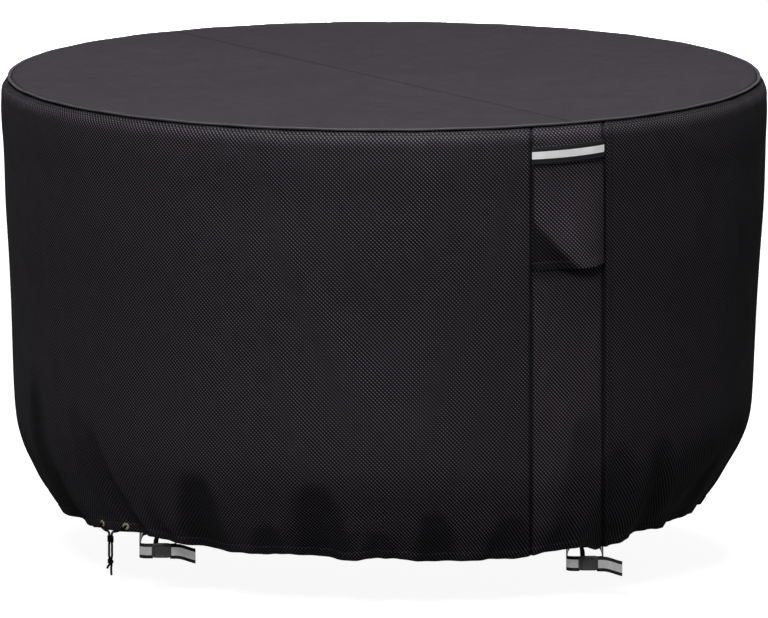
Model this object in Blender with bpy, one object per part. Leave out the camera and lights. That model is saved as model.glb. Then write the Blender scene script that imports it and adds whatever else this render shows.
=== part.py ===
"""A round patio furniture cover as it hangs over a small table: 1.27 m across and about 0.72 m deep.

Metres, +Z up, the front faces -Y. The origin is the middle of the underside of the top, where the table
holds it. A turn is an angle in degrees from the front towards +X. A drop is a distance below the rim.
"""

import math

import bpy
import numpy as np

for old in list(bpy.data.objects):
    bpy.data.objects.remove(old, do_unlink=True)

# Cloth and the gaps between pieces.
CLOTH = 0.0020
GAP = 0.0003

# The top: a flat disc of two panels, whose seam passes the centre at SEAM_OFFSET.
TOP_RADIUS = 0.6195
SEAM_TURN = 57.8
SEAM_OFFSET = -0.0266
TOP_ROWS = 24
TOP_COLUMNS = 6

# The piping between top and skirt: an oval cord under its own cloth.
WELT_RADIUS = 0.6228
WELT_WIDE = 0.0052
WELT_TALL = 0.0044
WELT_SEGMENTS = 96
WELT_SIDES = 6

# The skirt: where it starts, the plane of each seam beside the strip, and the seam at the back.
SKIRT_START = 0.0036
STRIP_LEFT_X = 0.2419
STRIP_RIGHT_X = 0.3607
BACK_TURN = 208.0
# Columns of each skirt panel's grid: from turn, to turn, how many; closest at the eyelets and the leg straps.
SKIRT_COLUMNS = {
    "right": ((35, 48, 10), (48, 95, 18), (95, 208, 18)),
    "left": ((-152, -90, 10), (-90, -62, 9), (-62, -40, 28), (-40, 23, 22)),
}
STRIP_COLUMNS = 12
SKIRT_ROWS = (0.0, 0.015, 0.045, 0.10, 0.25, 0.42, 0.58, 0.68, 0.77, 0.85, 0.92, 0.955, 0.972, 0.986, 1.0)

# The skirt's outside in section: drop, radius.
PROFILE = (
    (0.000, 0.6215),
    (0.004, 0.6255),
    (0.015, 0.6330),
    (0.040, 0.6360),
    (0.065, 0.6360),
    (0.108, 0.6335),
    (0.209, 0.6300),
    (0.309, 0.6235),
    (0.377, 0.6200),
    (0.444, 0.6175),
    (0.511, 0.6150),
    (0.545, 0.6130),
    (0.579, 0.6090),
    (0.612, 0.6000),
    (0.646, 0.5850),
    (0.679, 0.5690),
    (0.710, 0.5480),
    (0.740, 0.5300),
)

# The gathered hem all the way round: turn, drop of its edge, how much further in the cord pulls it.
HEM = (
    (-86, 0.7190, 0.000),
    (-75, 0.7150, 0.000),
    (-66, 0.7190, 0.000),
    (-58, 0.7130, 0.000),
    (-52, 0.7100, 0.000),
    (-47, 0.7100, 0.002),
    (-42, 0.7150, 0.002),
    (-38, 0.7180, 0.002),
    (-28, 0.7230, 0.000),
    (-22, 0.7235, 0.000),
    (-15, 0.7215, 0.000),
    (-7, 0.7285, -0.004),
    (0, 0.7235, -0.004),
    (9, 0.7315, -0.008),
    (16, 0.7300, -0.010),
    (24, 0.7310, -0.010),
    (29, 0.7240, -0.010),
    (37, 0.7210, -0.014),
    (42, 0.7320, -0.012),
    (46, 0.7245, -0.002),
    (52, 0.7180, 0.012),
    (60, 0.7185, 0.020),
    (75, 0.7160, 0.020),
    (88, 0.7150, 0.016),
    (105, 0.7180, 0.008),
    (125, 0.7150, 0.002),
    (150, 0.7210, 0.000),
    (175, 0.7170, 0.002),
    (200, 0.7220, 0.000),
    (225, 0.7160, 0.003),
    (250, 0.7200, 0.000),
)

# The hollows between the gathers, each from its tip down to the hem: turn and drop of the tip, turns of
# its left and right sides at the hem, depth at the hem.
HOLLOWS = (
    (-84, 0.610, -88, -79, 0.009),
    (-70, 0.474, -75, -64, 0.015),
    (-53, 0.520, -50, -44, 0.010),
    (-42, 0.650, -43, -38, 0.007),
    (-31, 0.581, -38, -27, 0.020),
    (-20, 0.665, -24, -17, 0.010),
    (-11, 0.591, -17, -5, 0.020),
    (-1, 0.675, -4, 3, 0.009),
    (8, 0.640, 5, 13, 0.013),
    (21, 0.650, 17, 26, 0.010),
    (31, 0.655, 28, 35, 0.009),
    (39, 0.540, 35, 47, 0.020),
    (48, 0.538, 49, 59, 0.018),
    (67, 0.600, 62, 73, 0.015),
    (81, 0.560, 77, 87, 0.014),
    (98, 0.600, 93, 104, 0.016),
    (113, 0.545, 108, 118, 0.017),
    (129, 0.640, 125, 134, 0.010),
    (144, 0.570, 138, 150, 0.018),
    (160, 0.655, 156, 165, 0.010),
    (174, 0.580, 168, 181, 0.019),
    (192, 0.650, 188, 197, 0.010),
    (208, 0.620, 203, 213, 0.012),
    (222, 0.560, 217, 228, 0.017),
    (237, 0.650, 233, 242, 0.010),
    (251, 0.575, 246, 258, 0.018),
    (265, 0.640, 262, 270, 0.010),
)

# The handle band: webbing from seam to seam of the strip, standing off it in the middle.
BAND_TOP = 0.0296
BAND_SLOPE = 0.0035
BAND_HEIGHT = 0.0290
BAND_THICK = 0.0020
BAND_STANDS = 0.0085
BAND_COLUMNS = 14

# The vent hood: its top and lower edge, and how far the lower edge stands off the strip.
HOOD_TOP = 0.0628
HOOD_LEFT_EDGE = 0.2390
HOOD_RIGHT_EDGE = 0.2350
HOOD_STANDS = 0.0230
HOOD_THICK = 0.0016
HOOD_CLEAR = 0.0011
HOOD_PEAK = 0.56
HOOD_COLUMNS = 10
HOOD_ROWS = 9

# Eyelets: turn, height of the centre above the hem's edge.
EYELETS = {"left": (-56.3, 0.0090), "right": (-50.0, 0.0098)}

# Between the eyelets the cord draws the hem's edge outwards: turn of the middle, reach each way, amount.
FLARE_TURN = -53.2
FLARE_REACH = 6.0
FLARE = 0.0160
EYELET_RADIUS = 0.0060
EYELET_BORE = 0.0026
EYELET_HOLE = 0.0040
EYELET_CLEAR = 0.0006
EYELET_FLANGE = 0.0010

# The drawcord and its two knots.
CORD = 0.0038
CORD_STEP = 0.0028
KNOTS = {"upper": (0.7225, 0.0135, 0.0), "lower": (0.7600, 0.0088, 40.0)}
KNOT_CLEAR = 0.0004
KNOT_WALL = 0.0014

# The leg straps: the left and right limits of the loop, how far in front of the centre its front runs,
# the drop of its middle, and the buckle's left side. The rest is the same for both.
STRAPS = {
    "left": {"left": -0.4039, "right": -0.3425, "front": 0.3750, "drop": 0.7384, "buckle": -0.3835},
    "right": {"left": 0.3005, "right": 0.3620, "front": 0.4120, "drop": 0.7535, "buckle": 0.3205},
}
WEB = 0.0250
WEB_THICK = 0.0016
LOOP_DEPTH = 0.0480
LOOP_CORNER = 0.0120
LOOP_RISE = 0.0320
BUCKLE_LONG = 0.0325
BUCKLE_TALL = 0.0240
BUCKLE_THICK = 0.0085
BUCKLE_UP = 0.0012
TAIL_LONG = 0.0420
TAIL_DROOP = 0.0085
TAB_WIDE = 0.0080
TAB_THICK = 0.0012
TAB_UP = 0.0180


def smooth(rows, column, at):
    """A column of a table of rows as a smooth curve through its points, read at the values at."""
    table = np.array(rows, float)
    x, y = table[:, 0], table[:, column]
    slope = np.gradient(y, x)
    i = np.clip(np.searchsorted(x, at, side="right") - 1, 0, len(x) - 2)
    wide = x[i + 1] - x[i]
    t = np.clip((at - x[i]) / wide, 0.0, 1.0)
    return (
        (2 * t**3 - 3 * t**2 + 1) * y[i]
        + (t**3 - 2 * t**2 + t) * wide * slope[i]
        + (3 * t**2 - 2 * t**3) * y[i + 1]
        + (t**3 - t**2) * wide * slope[i + 1]
    )


def step(low, high, at):
    """0 below low, 1 above high and a smooth rise between."""
    t = np.clip((at - low) / (high - low), 0.0, 1.0)
    return t * t * (3 - 2 * t)


def hem(turn, column):
    """A column of the hem's table at any turn, the table repeated so that it closes on itself."""
    rows = [(row[0] + shift, *row[1:]) for shift in (-360, 0, 360) for row in HEM]
    return smooth(rows, column, (np.asarray(turn) + 86.0) % 360.0 - 86.0)


def hollows(turn, drop):
    """How far in the gathers' hollows take the cloth: each widens and deepens from its tip to the hem."""
    inwards = np.zeros(np.broadcast(turn, drop).shape)
    for tip_turn, tip_drop, left, right, depth in HOLLOWS:
        down = np.clip((drop - tip_drop) / (0.722 - tip_drop), 0.0, 1.2)
        middle = tip_turn + ((left + right) / 2 - tip_turn) * np.clip(down, 0, 1)
        half = (right - left) / 2 * (0.30 + 0.70 * np.clip(down, 0, 1) ** 0.7)
        away = np.abs((turn - middle + 180.0) % 360.0 - 180.0) / half
        across = np.cos(np.clip(away / 1.25, 0, 1) * math.pi / 2) ** 2
        inwards = inwards + depth * down**0.75 * across
    return inwards


def skirt(turn, drop):
    """The outside of the skirt at a turn and a drop: the section turned round, less the gathers."""
    radius = smooth(PROFILE, 1, drop) - hollows(turn, drop) - hem(turn, 2) * step(0.54, 0.71, drop)
    flare = FLARE * np.exp(-(((np.asarray(turn) - FLARE_TURN) / FLARE_REACH) ** 2))
    radius = radius + flare * step(0.686, 0.720, drop)
    angle = np.radians(turn)
    return np.stack(
        np.broadcast_arrays(radius * np.sin(angle), -radius * np.cos(angle), -np.asarray(drop, float)), -1
    )


def outward(turn, drop):
    """The unit normals of the skirt's outside, from its slopes along a turn and along a drop."""
    across = skirt(turn + 0.4, drop) - skirt(turn - 0.4, drop)
    down = skirt(turn, drop + 0.0008) - skirt(turn, drop - 0.0008)
    normal = np.cross(down, across)
    return normal / np.linalg.norm(normal, axis=-1, keepdims=True)


def turn_at(x, drop):
    """The turn at which the skirt's front meets the upright plane of that x, by repeated correction."""
    turn = np.degrees(np.arcsin(x / 0.62)) + 0 * drop
    for _ in range(12):
        radius = np.linalg.norm(skirt(turn, drop)[..., :2], axis=-1)
        turn = np.degrees(np.arcsin(np.clip(x / radius, -1, 1)))
    return turn


def column_shares(bands):
    """Where a panel's columns lie between its two sides, from 0 to 1, for bands of a turn, a turn, a count."""
    turns = np.concatenate([np.linspace(a, b, count + 1)[:-1] for a, b, count in bands])
    first, last = bands[0][0], bands[-1][1]
    return np.append((turns - first) / (last - first), 1.0)


def skirt_patch(first, last, shares, rows):
    """Turns and drops of a panel's grid: first and last give the turn of each side for an array of drops."""
    u = np.asarray(shares)[None, :]
    v = np.array(rows)[:, None]
    drop = np.full((len(rows), len(shares)), 0.4)
    for _ in range(6):
        turn = first(drop) + u * (last(drop) - first(drop))
        drop = SKIRT_START + v * (hem(turn, 1) - SKIRT_START)
    return turn, drop


def material(name, colour, rough, metal=0.0):
    """A Principled BSDF material of one colour."""
    made = bpy.data.materials.new(name)
    made.use_nodes = True
    shader = made.node_tree.nodes["Principled BSDF"]
    shader.inputs["Base Color"].default_value = (*colour, 1.0)
    shader.inputs["Roughness"].default_value = rough
    shader.inputs["Metallic"].default_value = metal
    return made


def add_mesh(name, points, faces, paint, round_shading=False):
    """A named object of these points and faces with its own material, its faces turned outwards."""
    points = np.asarray(points, float).reshape(-1, 3)
    about = points - points.mean(axis=0)
    fans = [(f[0], f[k], f[k + 1]) for f in faces for k in range(1, len(f) - 1)]
    a, b, c = (about[[fan[k] for fan in fans]] for k in range(3))
    if (a * np.cross(b, c)).sum() < 0:
        faces = [tuple(reversed(f)) for f in faces]
    mesh = bpy.data.meshes.new(name)
    mesh.from_pydata([tuple(p) for p in points], [], faces)
    mesh.materials.append(paint)
    mesh.polygons.foreach_set("use_smooth", [round_shading] * len(mesh.polygons))
    made = bpy.data.objects.new(name, mesh)
    bpy.context.scene.collection.objects.link(made)
    return made


def sheet(name, outside, inside, paint):
    """A closed thin solid between two grids of points, rows down and columns across, outside first."""
    rows, columns = outside.shape[:2]
    at = np.arange(rows * columns).reshape(rows, columns)
    count = rows * columns
    faces = []
    for i in range(rows - 1):
        for j in range(columns - 1):
            a, b, c, d = at[i, j], at[i + 1, j], at[i + 1, j + 1], at[i, j + 1]
            faces += [(a, b, c), (a, c, d)]
            faces += [(a + count, c + count, b + count), (a + count, d + count, c + count)]
    edge = [*at[0, ::-1], *at[1:, 0], *at[-1, 1:], *at[-2:0:-1, -1]]
    for a, b in zip(edge, edge[1:] + edge[:1]):
        faces.append((b, a, a + count, b + count))
    return add_mesh(name, np.concatenate([outside.reshape(-1, 3), inside.reshape(-1, 3)]), faces, paint, True)


def ring_mesh(name, sections, paint, closed):
    """A solid through sections of points, closed on itself or with a flat cap at each end."""
    count, sides = sections.shape[:2]
    faces = []
    for i in range(count if closed else count - 1):
        k = (i + 1) % count
        for j in range(sides):
            m = (j + 1) % sides
            faces.append((i * sides + j, k * sides + j, k * sides + m, i * sides + m))
    if not closed:
        faces.append(tuple(range(sides)))
        faces.append(tuple(range(count * sides - 1, (count - 1) * sides - 1, -1)))
    return add_mesh(name, sections, faces, paint, True)


def top_panel(name, side, paint):
    """One half of the top: rows parallel to the seam, each a chord of the disc. side is 1 or -1."""
    across = np.array([math.sin(math.radians(SEAM_TURN)), math.cos(math.radians(SEAM_TURN)), 0.0])
    along = np.array([across[1], -across[0], 0.0])
    start = (SEAM_OFFSET * side + GAP / 2) / TOP_RADIUS
    lift = np.linspace(math.asin(start), math.radians(88.5), TOP_ROWS + 1)[:, None]
    share = np.linspace(-1, 1, TOP_COLUMNS + 1)[None, :]
    away = TOP_RADIUS * np.sin(lift) + 0 * share
    along_by = TOP_RADIUS * np.cos(lift) * share
    flat = side * away[..., None] * across + side * along_by[..., None] * along
    return sheet(name, flat + np.array([0, 0, CLOTH]), flat, paint)


def welt(paint):
    """The piping: an oval section carried round the rim."""
    turn = np.radians(np.arange(WELT_SEGMENTS) * 360.0 / WELT_SEGMENTS)[:, None]
    side = np.radians(np.arange(WELT_SIDES) * 360.0 / WELT_SIDES + 30.0)[None, :]
    radius = WELT_RADIUS + WELT_WIDE / 2 * np.cos(side)
    height = CLOTH / 2 - 0.0006 + WELT_TALL / 2 * np.sin(side) + 0 * turn
    points = np.stack([radius * np.sin(turn), -radius * np.cos(turn), height], -1)
    return ring_mesh("rim_welt", points, paint, True)


def panel(name, first, last, shares, paint):
    """A panel of the skirt between two sides, CLOTH thick inwards from the skirt's outside."""
    turn, drop = skirt_patch(first, last, shares, SKIRT_ROWS)
    outside = skirt(turn, drop)
    return sheet(name, outside, outside - CLOTH * outward(turn, drop), paint)


def on_strip(across, drop, stands):
    """Points that stand off the strip: across is 0 at its left seam and 1 at its right."""
    x = STRIP_LEFT_X + 2 * GAP + across * (STRIP_RIGHT_X - STRIP_LEFT_X - 4 * GAP)
    turn = turn_at(x, drop)
    return skirt(turn, drop) + np.asarray(stands)[..., None] * outward(turn, drop)


def handle_band(paint):
    """Webbing across the strip that stands off it between its sewn ends."""
    across = np.linspace(0, 1, BAND_COLUMNS + 1)[None, :]
    drop = BAND_TOP + BAND_HEIGHT * np.linspace(0, 1, 2)[:, None] + BAND_SLOPE * (1 - across)
    across = across + 0 * drop
    stands = GAP + BAND_STANDS * np.sin(math.pi * across) ** 0.7
    return sheet(
        "handle_band", on_strip(across, drop, stands + BAND_THICK), on_strip(across, drop, stands), paint
    )


def hood_stands(across, down):
    """How far the hood stands off: held at its top and sides, out to a peak at its lower edge, with its
    lower left corner folded back in behind a slanting crease."""
    sides = np.clip(across / 0.16, 0, 1) ** 0.8 * np.clip((1 - across) / 0.20, 0, 1) ** 0.8
    swell = 0.45 + 0.55 * np.exp(-(((across - HOOD_PEAK) / 0.30) ** 2))
    past_crease = (down - 0.47) - 0.85 * across
    folded = 1 - 0.86 * step(0.0, 0.26, past_crease)
    return HOOD_CLEAR + HOOD_STANDS * down**1.25 * sides * swell * folded


def vent_hood(paint):
    """The flap under the handle, from its sewn top to its free lower edge."""
    across = np.linspace(0, 1, HOOD_COLUMNS + 1)[None, :]
    down = np.linspace(0, 1, HOOD_ROWS + 1)[:, None]
    end = HOOD_LEFT_EDGE + (HOOD_RIGHT_EDGE - HOOD_LEFT_EDGE) * across
    drop = HOOD_TOP + down * (end - HOOD_TOP)
    across, down = np.broadcast_arrays(across, down)
    stands = hood_stands(across, down)
    return sheet(
        "vent_hood", on_strip(across, drop, stands + HOOD_THICK), on_strip(across, drop, stands), paint
    )


def axes_at(turn, drop):
    """A place on the skirt with its outward, sideways and upward unit vectors."""
    out = outward(turn, drop)
    side = np.cross((0, 0, 1), out)
    side = side / np.linalg.norm(side)
    return skirt(turn, drop), out, side, np.cross(out, side)


def eyelet_place(which):
    """The turn and drop of an eyelet's centre."""
    turn, above = EYELETS[which]
    return turn, float(hem(turn, 1)) - above


def eyelet(which, paint):
    """A brass ring with a barrel through the cloth and a flange on each face."""
    middle, out, side, up = axes_at(*eyelet_place(which))
    front = EYELET_CLEAR
    back = -CLOTH - EYELET_CLEAR
    barrel = EYELET_HOLE - EYELET_CLEAR
    section = (
        (EYELET_BORE, back - EYELET_FLANGE),
        (EYELET_RADIUS - 0.0006, back - EYELET_FLANGE),
        (EYELET_RADIUS, back),
        (barrel, back),
        (barrel, front),
        (EYELET_RADIUS, front),
        (EYELET_RADIUS - 0.0008, front + EYELET_FLANGE),
        (EYELET_BORE + 0.0006, front + EYELET_FLANGE),
        (EYELET_BORE, front + EYELET_FLANGE * 0.4),
    )
    angle = np.radians(np.arange(24) * 15.0)[:, None, None]
    radius = np.array([row[0] for row in section])[None, :, None]
    away = np.array([row[1] for row in section])[None, :, None]
    points = middle + radius * (np.cos(angle) * side + np.sin(angle) * up) + away * out
    return ring_mesh(f"eyelet_{which}", points, paint, True)


def eyelet_cutter(which):
    """A round bar through the cloth where an eyelet sits."""
    middle, out, side, up = axes_at(*eyelet_place(which))
    angle = np.radians(np.arange(24) * 15.0 + 4.0)[None, :, None]
    away = np.array([-0.012, 0.012])[:, None, None]
    points = middle + EYELET_HOLE * (np.cos(angle) * side + np.sin(angle) * up) + away * out
    made = ring_mesh(f"cutter_{which}", points, bpy.data.materials["cutting"], False)
    made.hide_render = True
    made.display_type = "WIRE"
    return made


def cut(target, cutter):
    """Takes the cutter's bar out of the target."""
    hole = target.modifiers.new(cutter.name, "BOOLEAN")
    hole.operation = "DIFFERENCE"
    hole.solver = "EXACT"
    hole.object = cutter


def through(points, spacing):
    """A smooth curve through the points, read at even steps."""
    points = np.array(points, float)
    along = np.concatenate([[0], np.cumsum(np.linalg.norm(np.diff(points, axis=0), axis=1))])
    fine = np.linspace(0, along[-1], 400)
    table = np.column_stack([along, points])
    curve = np.stack([smooth(table, k, fine) for k in (1, 2, 3)], -1)
    length = np.concatenate([[0], np.cumsum(np.linalg.norm(np.diff(curve, axis=0), axis=1))])
    at = np.linspace(0, length[-1], int(round(length[-1] / spacing)) + 1)
    return np.stack([np.interp(at, length, curve[:, k]) for k in range(3)], -1)


def cord_middle():
    """Where the tied cord hangs: a place just outside the hem between the eyelets, and its axes there."""
    turn = (EYELETS["left"][0] + EYELETS["right"][0]) / 2 + 0.6
    at, out, _, _ = axes_at(turn, float(hem(turn, 1)) - 0.004)
    level = np.array([out[0], out[1], 0.0]) / math.hypot(out[0], out[1])
    return at + 0.0085 * level, np.array([0.0, -1.0, 0.0]), np.array([1.0, 0.0, 0.0])


def cord_route(which):
    """The route of one end of the drawcord: out of its eyelet, over to the upper knot, down through both
    knots, and on to its own tail. Offsets are across, outwards and drop."""
    place, out, side, up = axes_at(*eyelet_place(which))
    middle, level, across = cord_middle()
    hand = -1 if which == "left" else 1
    reach = CORD / 2 + 0.0002
    upper, lower = KNOTS["upper"][0], KNOTS["lower"][0]
    turned = math.radians(KNOTS["lower"][2])
    low_across = hand * reach * math.cos(turned)
    low_out = hand * reach * math.sin(turned)
    rows = [
        (hand * (reach + 0.0002), 0.0, upper - 0.0088),
        (hand * reach, 0.0, upper - 0.0067),
        (hand * reach, 0.0, upper),
        (hand * reach, 0.0, upper + 0.0067),
        (hand * (reach + 0.0003), 0.0, upper + 0.0095),
        (hand * (reach + 0.0003), 0.0, upper + 0.0140),
        (hand * (reach + 0.0003), 0.0, upper + 0.0210),
        (hand * (reach + 0.0003), low_out * 0.4, upper + 0.0285),
        (low_across, low_out, lower - 0.0045),
        (low_across, low_out, lower + 0.0050),
    ]
    if which == "left":
        rows += [(-0.0042, low_out * 1.1, lower + 0.0090), (-0.0058, low_out * 1.2, lower + 0.0125)]
    else:
        rows += [(0.0010, low_out, lower + 0.0130), (0.0016, low_out, lower + 0.0235)]
    first = [
        place - 0.0050 * out,
        place,
        place + 0.0040 * out - 0.0004 * up,
        place + 0.0062 * out - 0.0030 * up - 0.0030 * hand * across,
    ]
    rest = [np.array([*(middle + a * across + b * level)[:2], -drop]) for a, b, drop in rows]
    joined = 0.5 * (first[-1] + rest[0]) + 0.0006 * hand * across
    return through([*first, joined, *rest], CORD_STEP * 2)


def cord(which, paint):
    """One end of the drawcord: a tube as thick as the cord along its route."""
    route = cord_route(which)
    curve = bpy.data.curves.new(f"draw_cord_{which}", "CURVE")
    curve.dimensions = "3D"
    curve.bevel_depth = CORD / 2
    curve.bevel_resolution = 2
    curve.use_fill_caps = True
    spline = curve.splines.new("POLY")
    spline.points.add(len(route) - 1)
    for point, at in zip(spline.points, route):
        point.co = (*at, 1.0)
    curve.materials.append(paint)
    made = bpy.data.objects.new(f"draw_cord_{which}", curve)
    bpy.context.scene.collection.objects.link(made)
    return made


def knot(which, paint):
    """A knot: wraps of cord round the two strands, as a ridged sleeve that clears them."""
    drop, tall, turned = KNOTS[which]
    middle, level, across = cord_middle()
    c, s = math.cos(math.radians(turned)), math.sin(math.radians(turned))
    long_way = c * across + s * level
    short_way = -s * across + c * level
    wraps = 5 if which == "upper" else 3
    profile = []
    for k in range(wraps * 2 + 1):
        share = k / (wraps * 2)
        ridge = 0.0005 * math.sin(share * wraps * math.pi) ** 2
        ends = 0.0007 * (2 * share - 1) ** 6
        profile.append((KNOT_WALL + ridge - ends, share))
    profile += [(0.0, 1.0), (0.0, 0.5), (0.0, 0.0)]
    angle = np.radians(np.arange(16) * 22.5)[:, None, None]
    out_by = np.array([row[0] for row in profile])[None, :, None]
    share = np.array([row[1] for row in profile])[None, :, None]
    wide = CORD + 0.0002 + KNOT_CLEAR + out_by
    thin = CORD / 2 + KNOT_CLEAR + 0.0002 + out_by
    squeeze = (np.abs(np.cos(angle)) ** 4 + np.abs(np.sin(angle)) ** 4) ** -0.25
    flat = squeeze * (wide * np.cos(angle) * long_way + thin * np.sin(angle) * short_way)
    points = flat + np.array([middle[0], middle[1], 0.0])
    points = points + (-(drop - tall / 2) - tall * share) * np.array([0, 0, 1.0])
    return ring_mesh(f"cord_knot_{which}", points, paint, True)


def loop_plan(size):
    """The loop's middle line seen from above, as x and depth: from the buckle's left side round the left
    corner, along the back, and round the right corners to the buckle's right side."""
    half = WEB_THICK / 2
    left, right = size["left"] + half, size["right"] - half
    back = LOOP_DEPTH - half
    r = LOOP_CORNER
    start = size["buckle"] - GAP
    end = size["buckle"] + BUCKLE_LONG + GAP
    path = [(start, 0.0), ((start + left + r) / 2, 0.0)]
    for cx, cy, first in ((left + r, r, 270), (left + r, back - r, 180), (right - r, back - r, 90)):
        for k in range(5):
            angle = math.radians(first - 22.5 * k)
            path.append((cx + r * math.cos(angle), cy + r * math.sin(angle)))
    tight = min(right - end - 0.0002, r)
    for k in range(5):
        angle = math.radians(-22.5 * k)
        path.append((right - tight + tight * math.cos(angle), tight + tight * math.sin(angle)))
    path.append((end, 0.0))
    return np.array(path)


def web_along(name, line, size, depth_at, paint):
    """Webbing on edge along a line of x and depth, with the drop of its middle at each point."""
    tangent = np.gradient(line, axis=0)
    tangent = tangent / np.linalg.norm(tangent, axis=1, keepdims=True)
    side = np.stack([-tangent[:, 1], tangent[:, 0]], -1) * WEB_THICK / 2
    sections = []
    for flat, drop in zip(((line + side), (line - side)), (depth_at, depth_at)):
        x, y = flat[:, 0], flat[:, 1] - size["front"]
        sections.append(np.stack([x, y, -(drop - WEB / 2)], -1))
        sections.append(np.stack([x, y, -(drop + WEB / 2)], -1))
    points = np.stack([sections[0], sections[1], sections[3], sections[2]], 1)
    return ring_mesh(name, points, paint, False)


def strap(which, paints):
    """One leg strap: loop, tail and buckle, and the tab that hangs it inside the hem."""
    size = STRAPS[which]
    plan = loop_plan(size)
    rise = LOOP_RISE * step(0.60, 1.0, plan[:, 1] / LOOP_DEPTH)
    web_along(f"strap_{which}_loop", plan, size, size["drop"] - rise, paints["webbing"])

    start = size["buckle"] + BUCKLE_LONG + GAP
    share = np.linspace(0, 1, 9)
    line = np.stack([start + TAIL_LONG * share, -0.0032 - 0.0010 * np.sin(2.5 * share)], -1)
    droop = size["drop"] + TAIL_DROOP * step(0.25, 1.15, share)
    web_along(f"strap_{which}_tail", line, size, droop, paints["webbing"])

    long, tall, thick = BUCKLE_LONG / 2, BUCKLE_TALL / 2, BUCKLE_THICK / 2
    corner = 0.0020
    outline = (
        (-long, -tall + corner),
        (-long + corner, -tall),
        (long - corner, -tall),
        (long, -tall + corner),
        (long, tall - corner),
        (long - corner, tall),
        (-long + corner, tall),
        (-long, tall - corner),
    )
    middle = np.array([size["buckle"] + long, -0.0016 - size["front"], -size["drop"] + BUCKLE_UP])
    layers = []
    for depth, inset in ((-thick, 0.9), (-thick + 0.0015, 1.0), (thick - 0.0015, 1.0), (thick, 0.94)):
        layers.append([(middle[0] + x * inset, middle[1] + depth, middle[2] + z * inset) for x, z in outline])
    ring_mesh(f"strap_{which}_buckle", np.array(layers), paints["plastic"], False)

    tab_x = size["buckle"] + 0.0070
    tab_drop = float(hem(turn_at(tab_x, np.array(0.70)), 1))
    inner = CLOTH + GAP * 2
    rows = []
    for up in (TAB_UP, TAB_UP * 0.55, TAB_UP * 0.12):
        turn = float(turn_at(tab_x, np.array(tab_drop - up)))
        place, out, side, _ = axes_at(turn, tab_drop - up)
        rows.append((place - (inner + 0.0006) * out, side))
    behind = middle[1] + thick + 2 * GAP
    for past in (0.0, 0.45, 1.0):
        drop = size["drop"] - WEB / 2 + past * 0.018
        rows.append((np.array([tab_x, behind, -drop]), np.array([1.0, 0.0, 0.0])))
    middles = np.array([row[0] for row in rows])
    sides = np.array([row[1] for row in rows])
    down = np.gradient(middles, axis=0)
    face = np.cross(down, sides)
    face = face / np.linalg.norm(face, axis=1, keepdims=True)
    share = np.array([-0.5, 0.0, 0.5])[None, :, None]
    grid = middles[:, None] + share * TAB_WIDE * sides[:, None]
    sheet(f"strap_{which}_tab", grid, grid - TAB_THICK * face[:, None], paints["webbing"])


def build():
    """Every piece of the cover."""
    cloth = material("coated_cloth", (0.030, 0.028, 0.031), 0.72)
    piping = material("piping_cloth", (0.045, 0.043, 0.047), 0.66)
    webbing = material("striped_webbing", (0.020, 0.020, 0.022), 0.80)
    brass = material("brass", (0.80, 0.62, 0.30), 0.28, 1.0)
    cord_paint = material("black_cord", (0.012, 0.011, 0.012), 0.75)
    plastic = material("buckle_plastic", (0.060, 0.060, 0.063), 0.45)
    material("cutting", (0.5, 0.5, 0.5), 0.5)

    top_panel("top_back_right", 1, cloth)
    top_panel("top_front_left", -1, cloth)
    welt(piping)

    def left_seam(drop):
        return turn_at(STRIP_LEFT_X, drop)

    def right_seam(drop):
        return turn_at(STRIP_RIGHT_X, drop)

    part = math.degrees(GAP / 0.62)
    even = np.linspace(0, 1, STRIP_COLUMNS + 1)
    shares = {side: column_shares(bands) for side, bands in SKIRT_COLUMNS.items()}
    panel("strip_panel", lambda d: left_seam(d) + part, lambda d: right_seam(d) - part, even, cloth)
    panel("skirt_right", right_seam, lambda d: BACK_TURN - part + 0 * d, shares["right"], cloth)
    left = panel("skirt_left", lambda d: BACK_TURN - 360 + 0 * d, left_seam, shares["left"], cloth)
    handle_band(webbing)
    vent_hood(cloth)
    for which in EYELETS:
        eyelet(which, brass)
        cut(left, eyelet_cutter(which))
        cord(which, cord_paint)
    for which in KNOTS:
        knot(which, cord_paint)
    for which in STRAPS:
        strap(which, {"webbing": webbing, "plastic": plastic})


build()
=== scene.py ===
"""A round patio furniture cover, as it hangs over a small table, laid out as a Blender add-on.

Metres, +Z up, the front faces -Y. A turn is an angle in degrees from the front towards +X. A drop is a
distance below the rim. The cloth is worked out as grids: one row for each drop, one column for each turn.
"""

import math

import bpy
import numpy as np
from bpy.props import FloatProperty, FloatVectorProperty, PointerProperty
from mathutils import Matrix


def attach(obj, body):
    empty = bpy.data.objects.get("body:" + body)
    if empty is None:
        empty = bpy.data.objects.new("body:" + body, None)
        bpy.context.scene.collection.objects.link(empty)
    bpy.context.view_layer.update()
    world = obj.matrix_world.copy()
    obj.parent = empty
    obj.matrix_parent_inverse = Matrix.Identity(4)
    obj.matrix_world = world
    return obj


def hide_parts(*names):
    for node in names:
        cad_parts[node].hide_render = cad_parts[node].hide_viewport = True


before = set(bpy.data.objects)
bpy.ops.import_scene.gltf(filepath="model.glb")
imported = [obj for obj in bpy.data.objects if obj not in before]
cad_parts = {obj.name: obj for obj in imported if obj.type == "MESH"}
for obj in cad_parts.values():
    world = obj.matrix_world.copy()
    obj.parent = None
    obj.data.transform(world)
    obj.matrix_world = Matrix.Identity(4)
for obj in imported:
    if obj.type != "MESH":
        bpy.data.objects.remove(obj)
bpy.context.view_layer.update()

bl_info = {
    "name": "Patio Furniture Cover",
    "version": (1, 0, 0),
    "blender": (4, 5, 0),
    "location": "View3D > Sidebar > Cover",
    "description": "Builds a round fitted patio furniture cover with its straps, cord and vent",
    "category": "Add Mesh",
}

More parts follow.
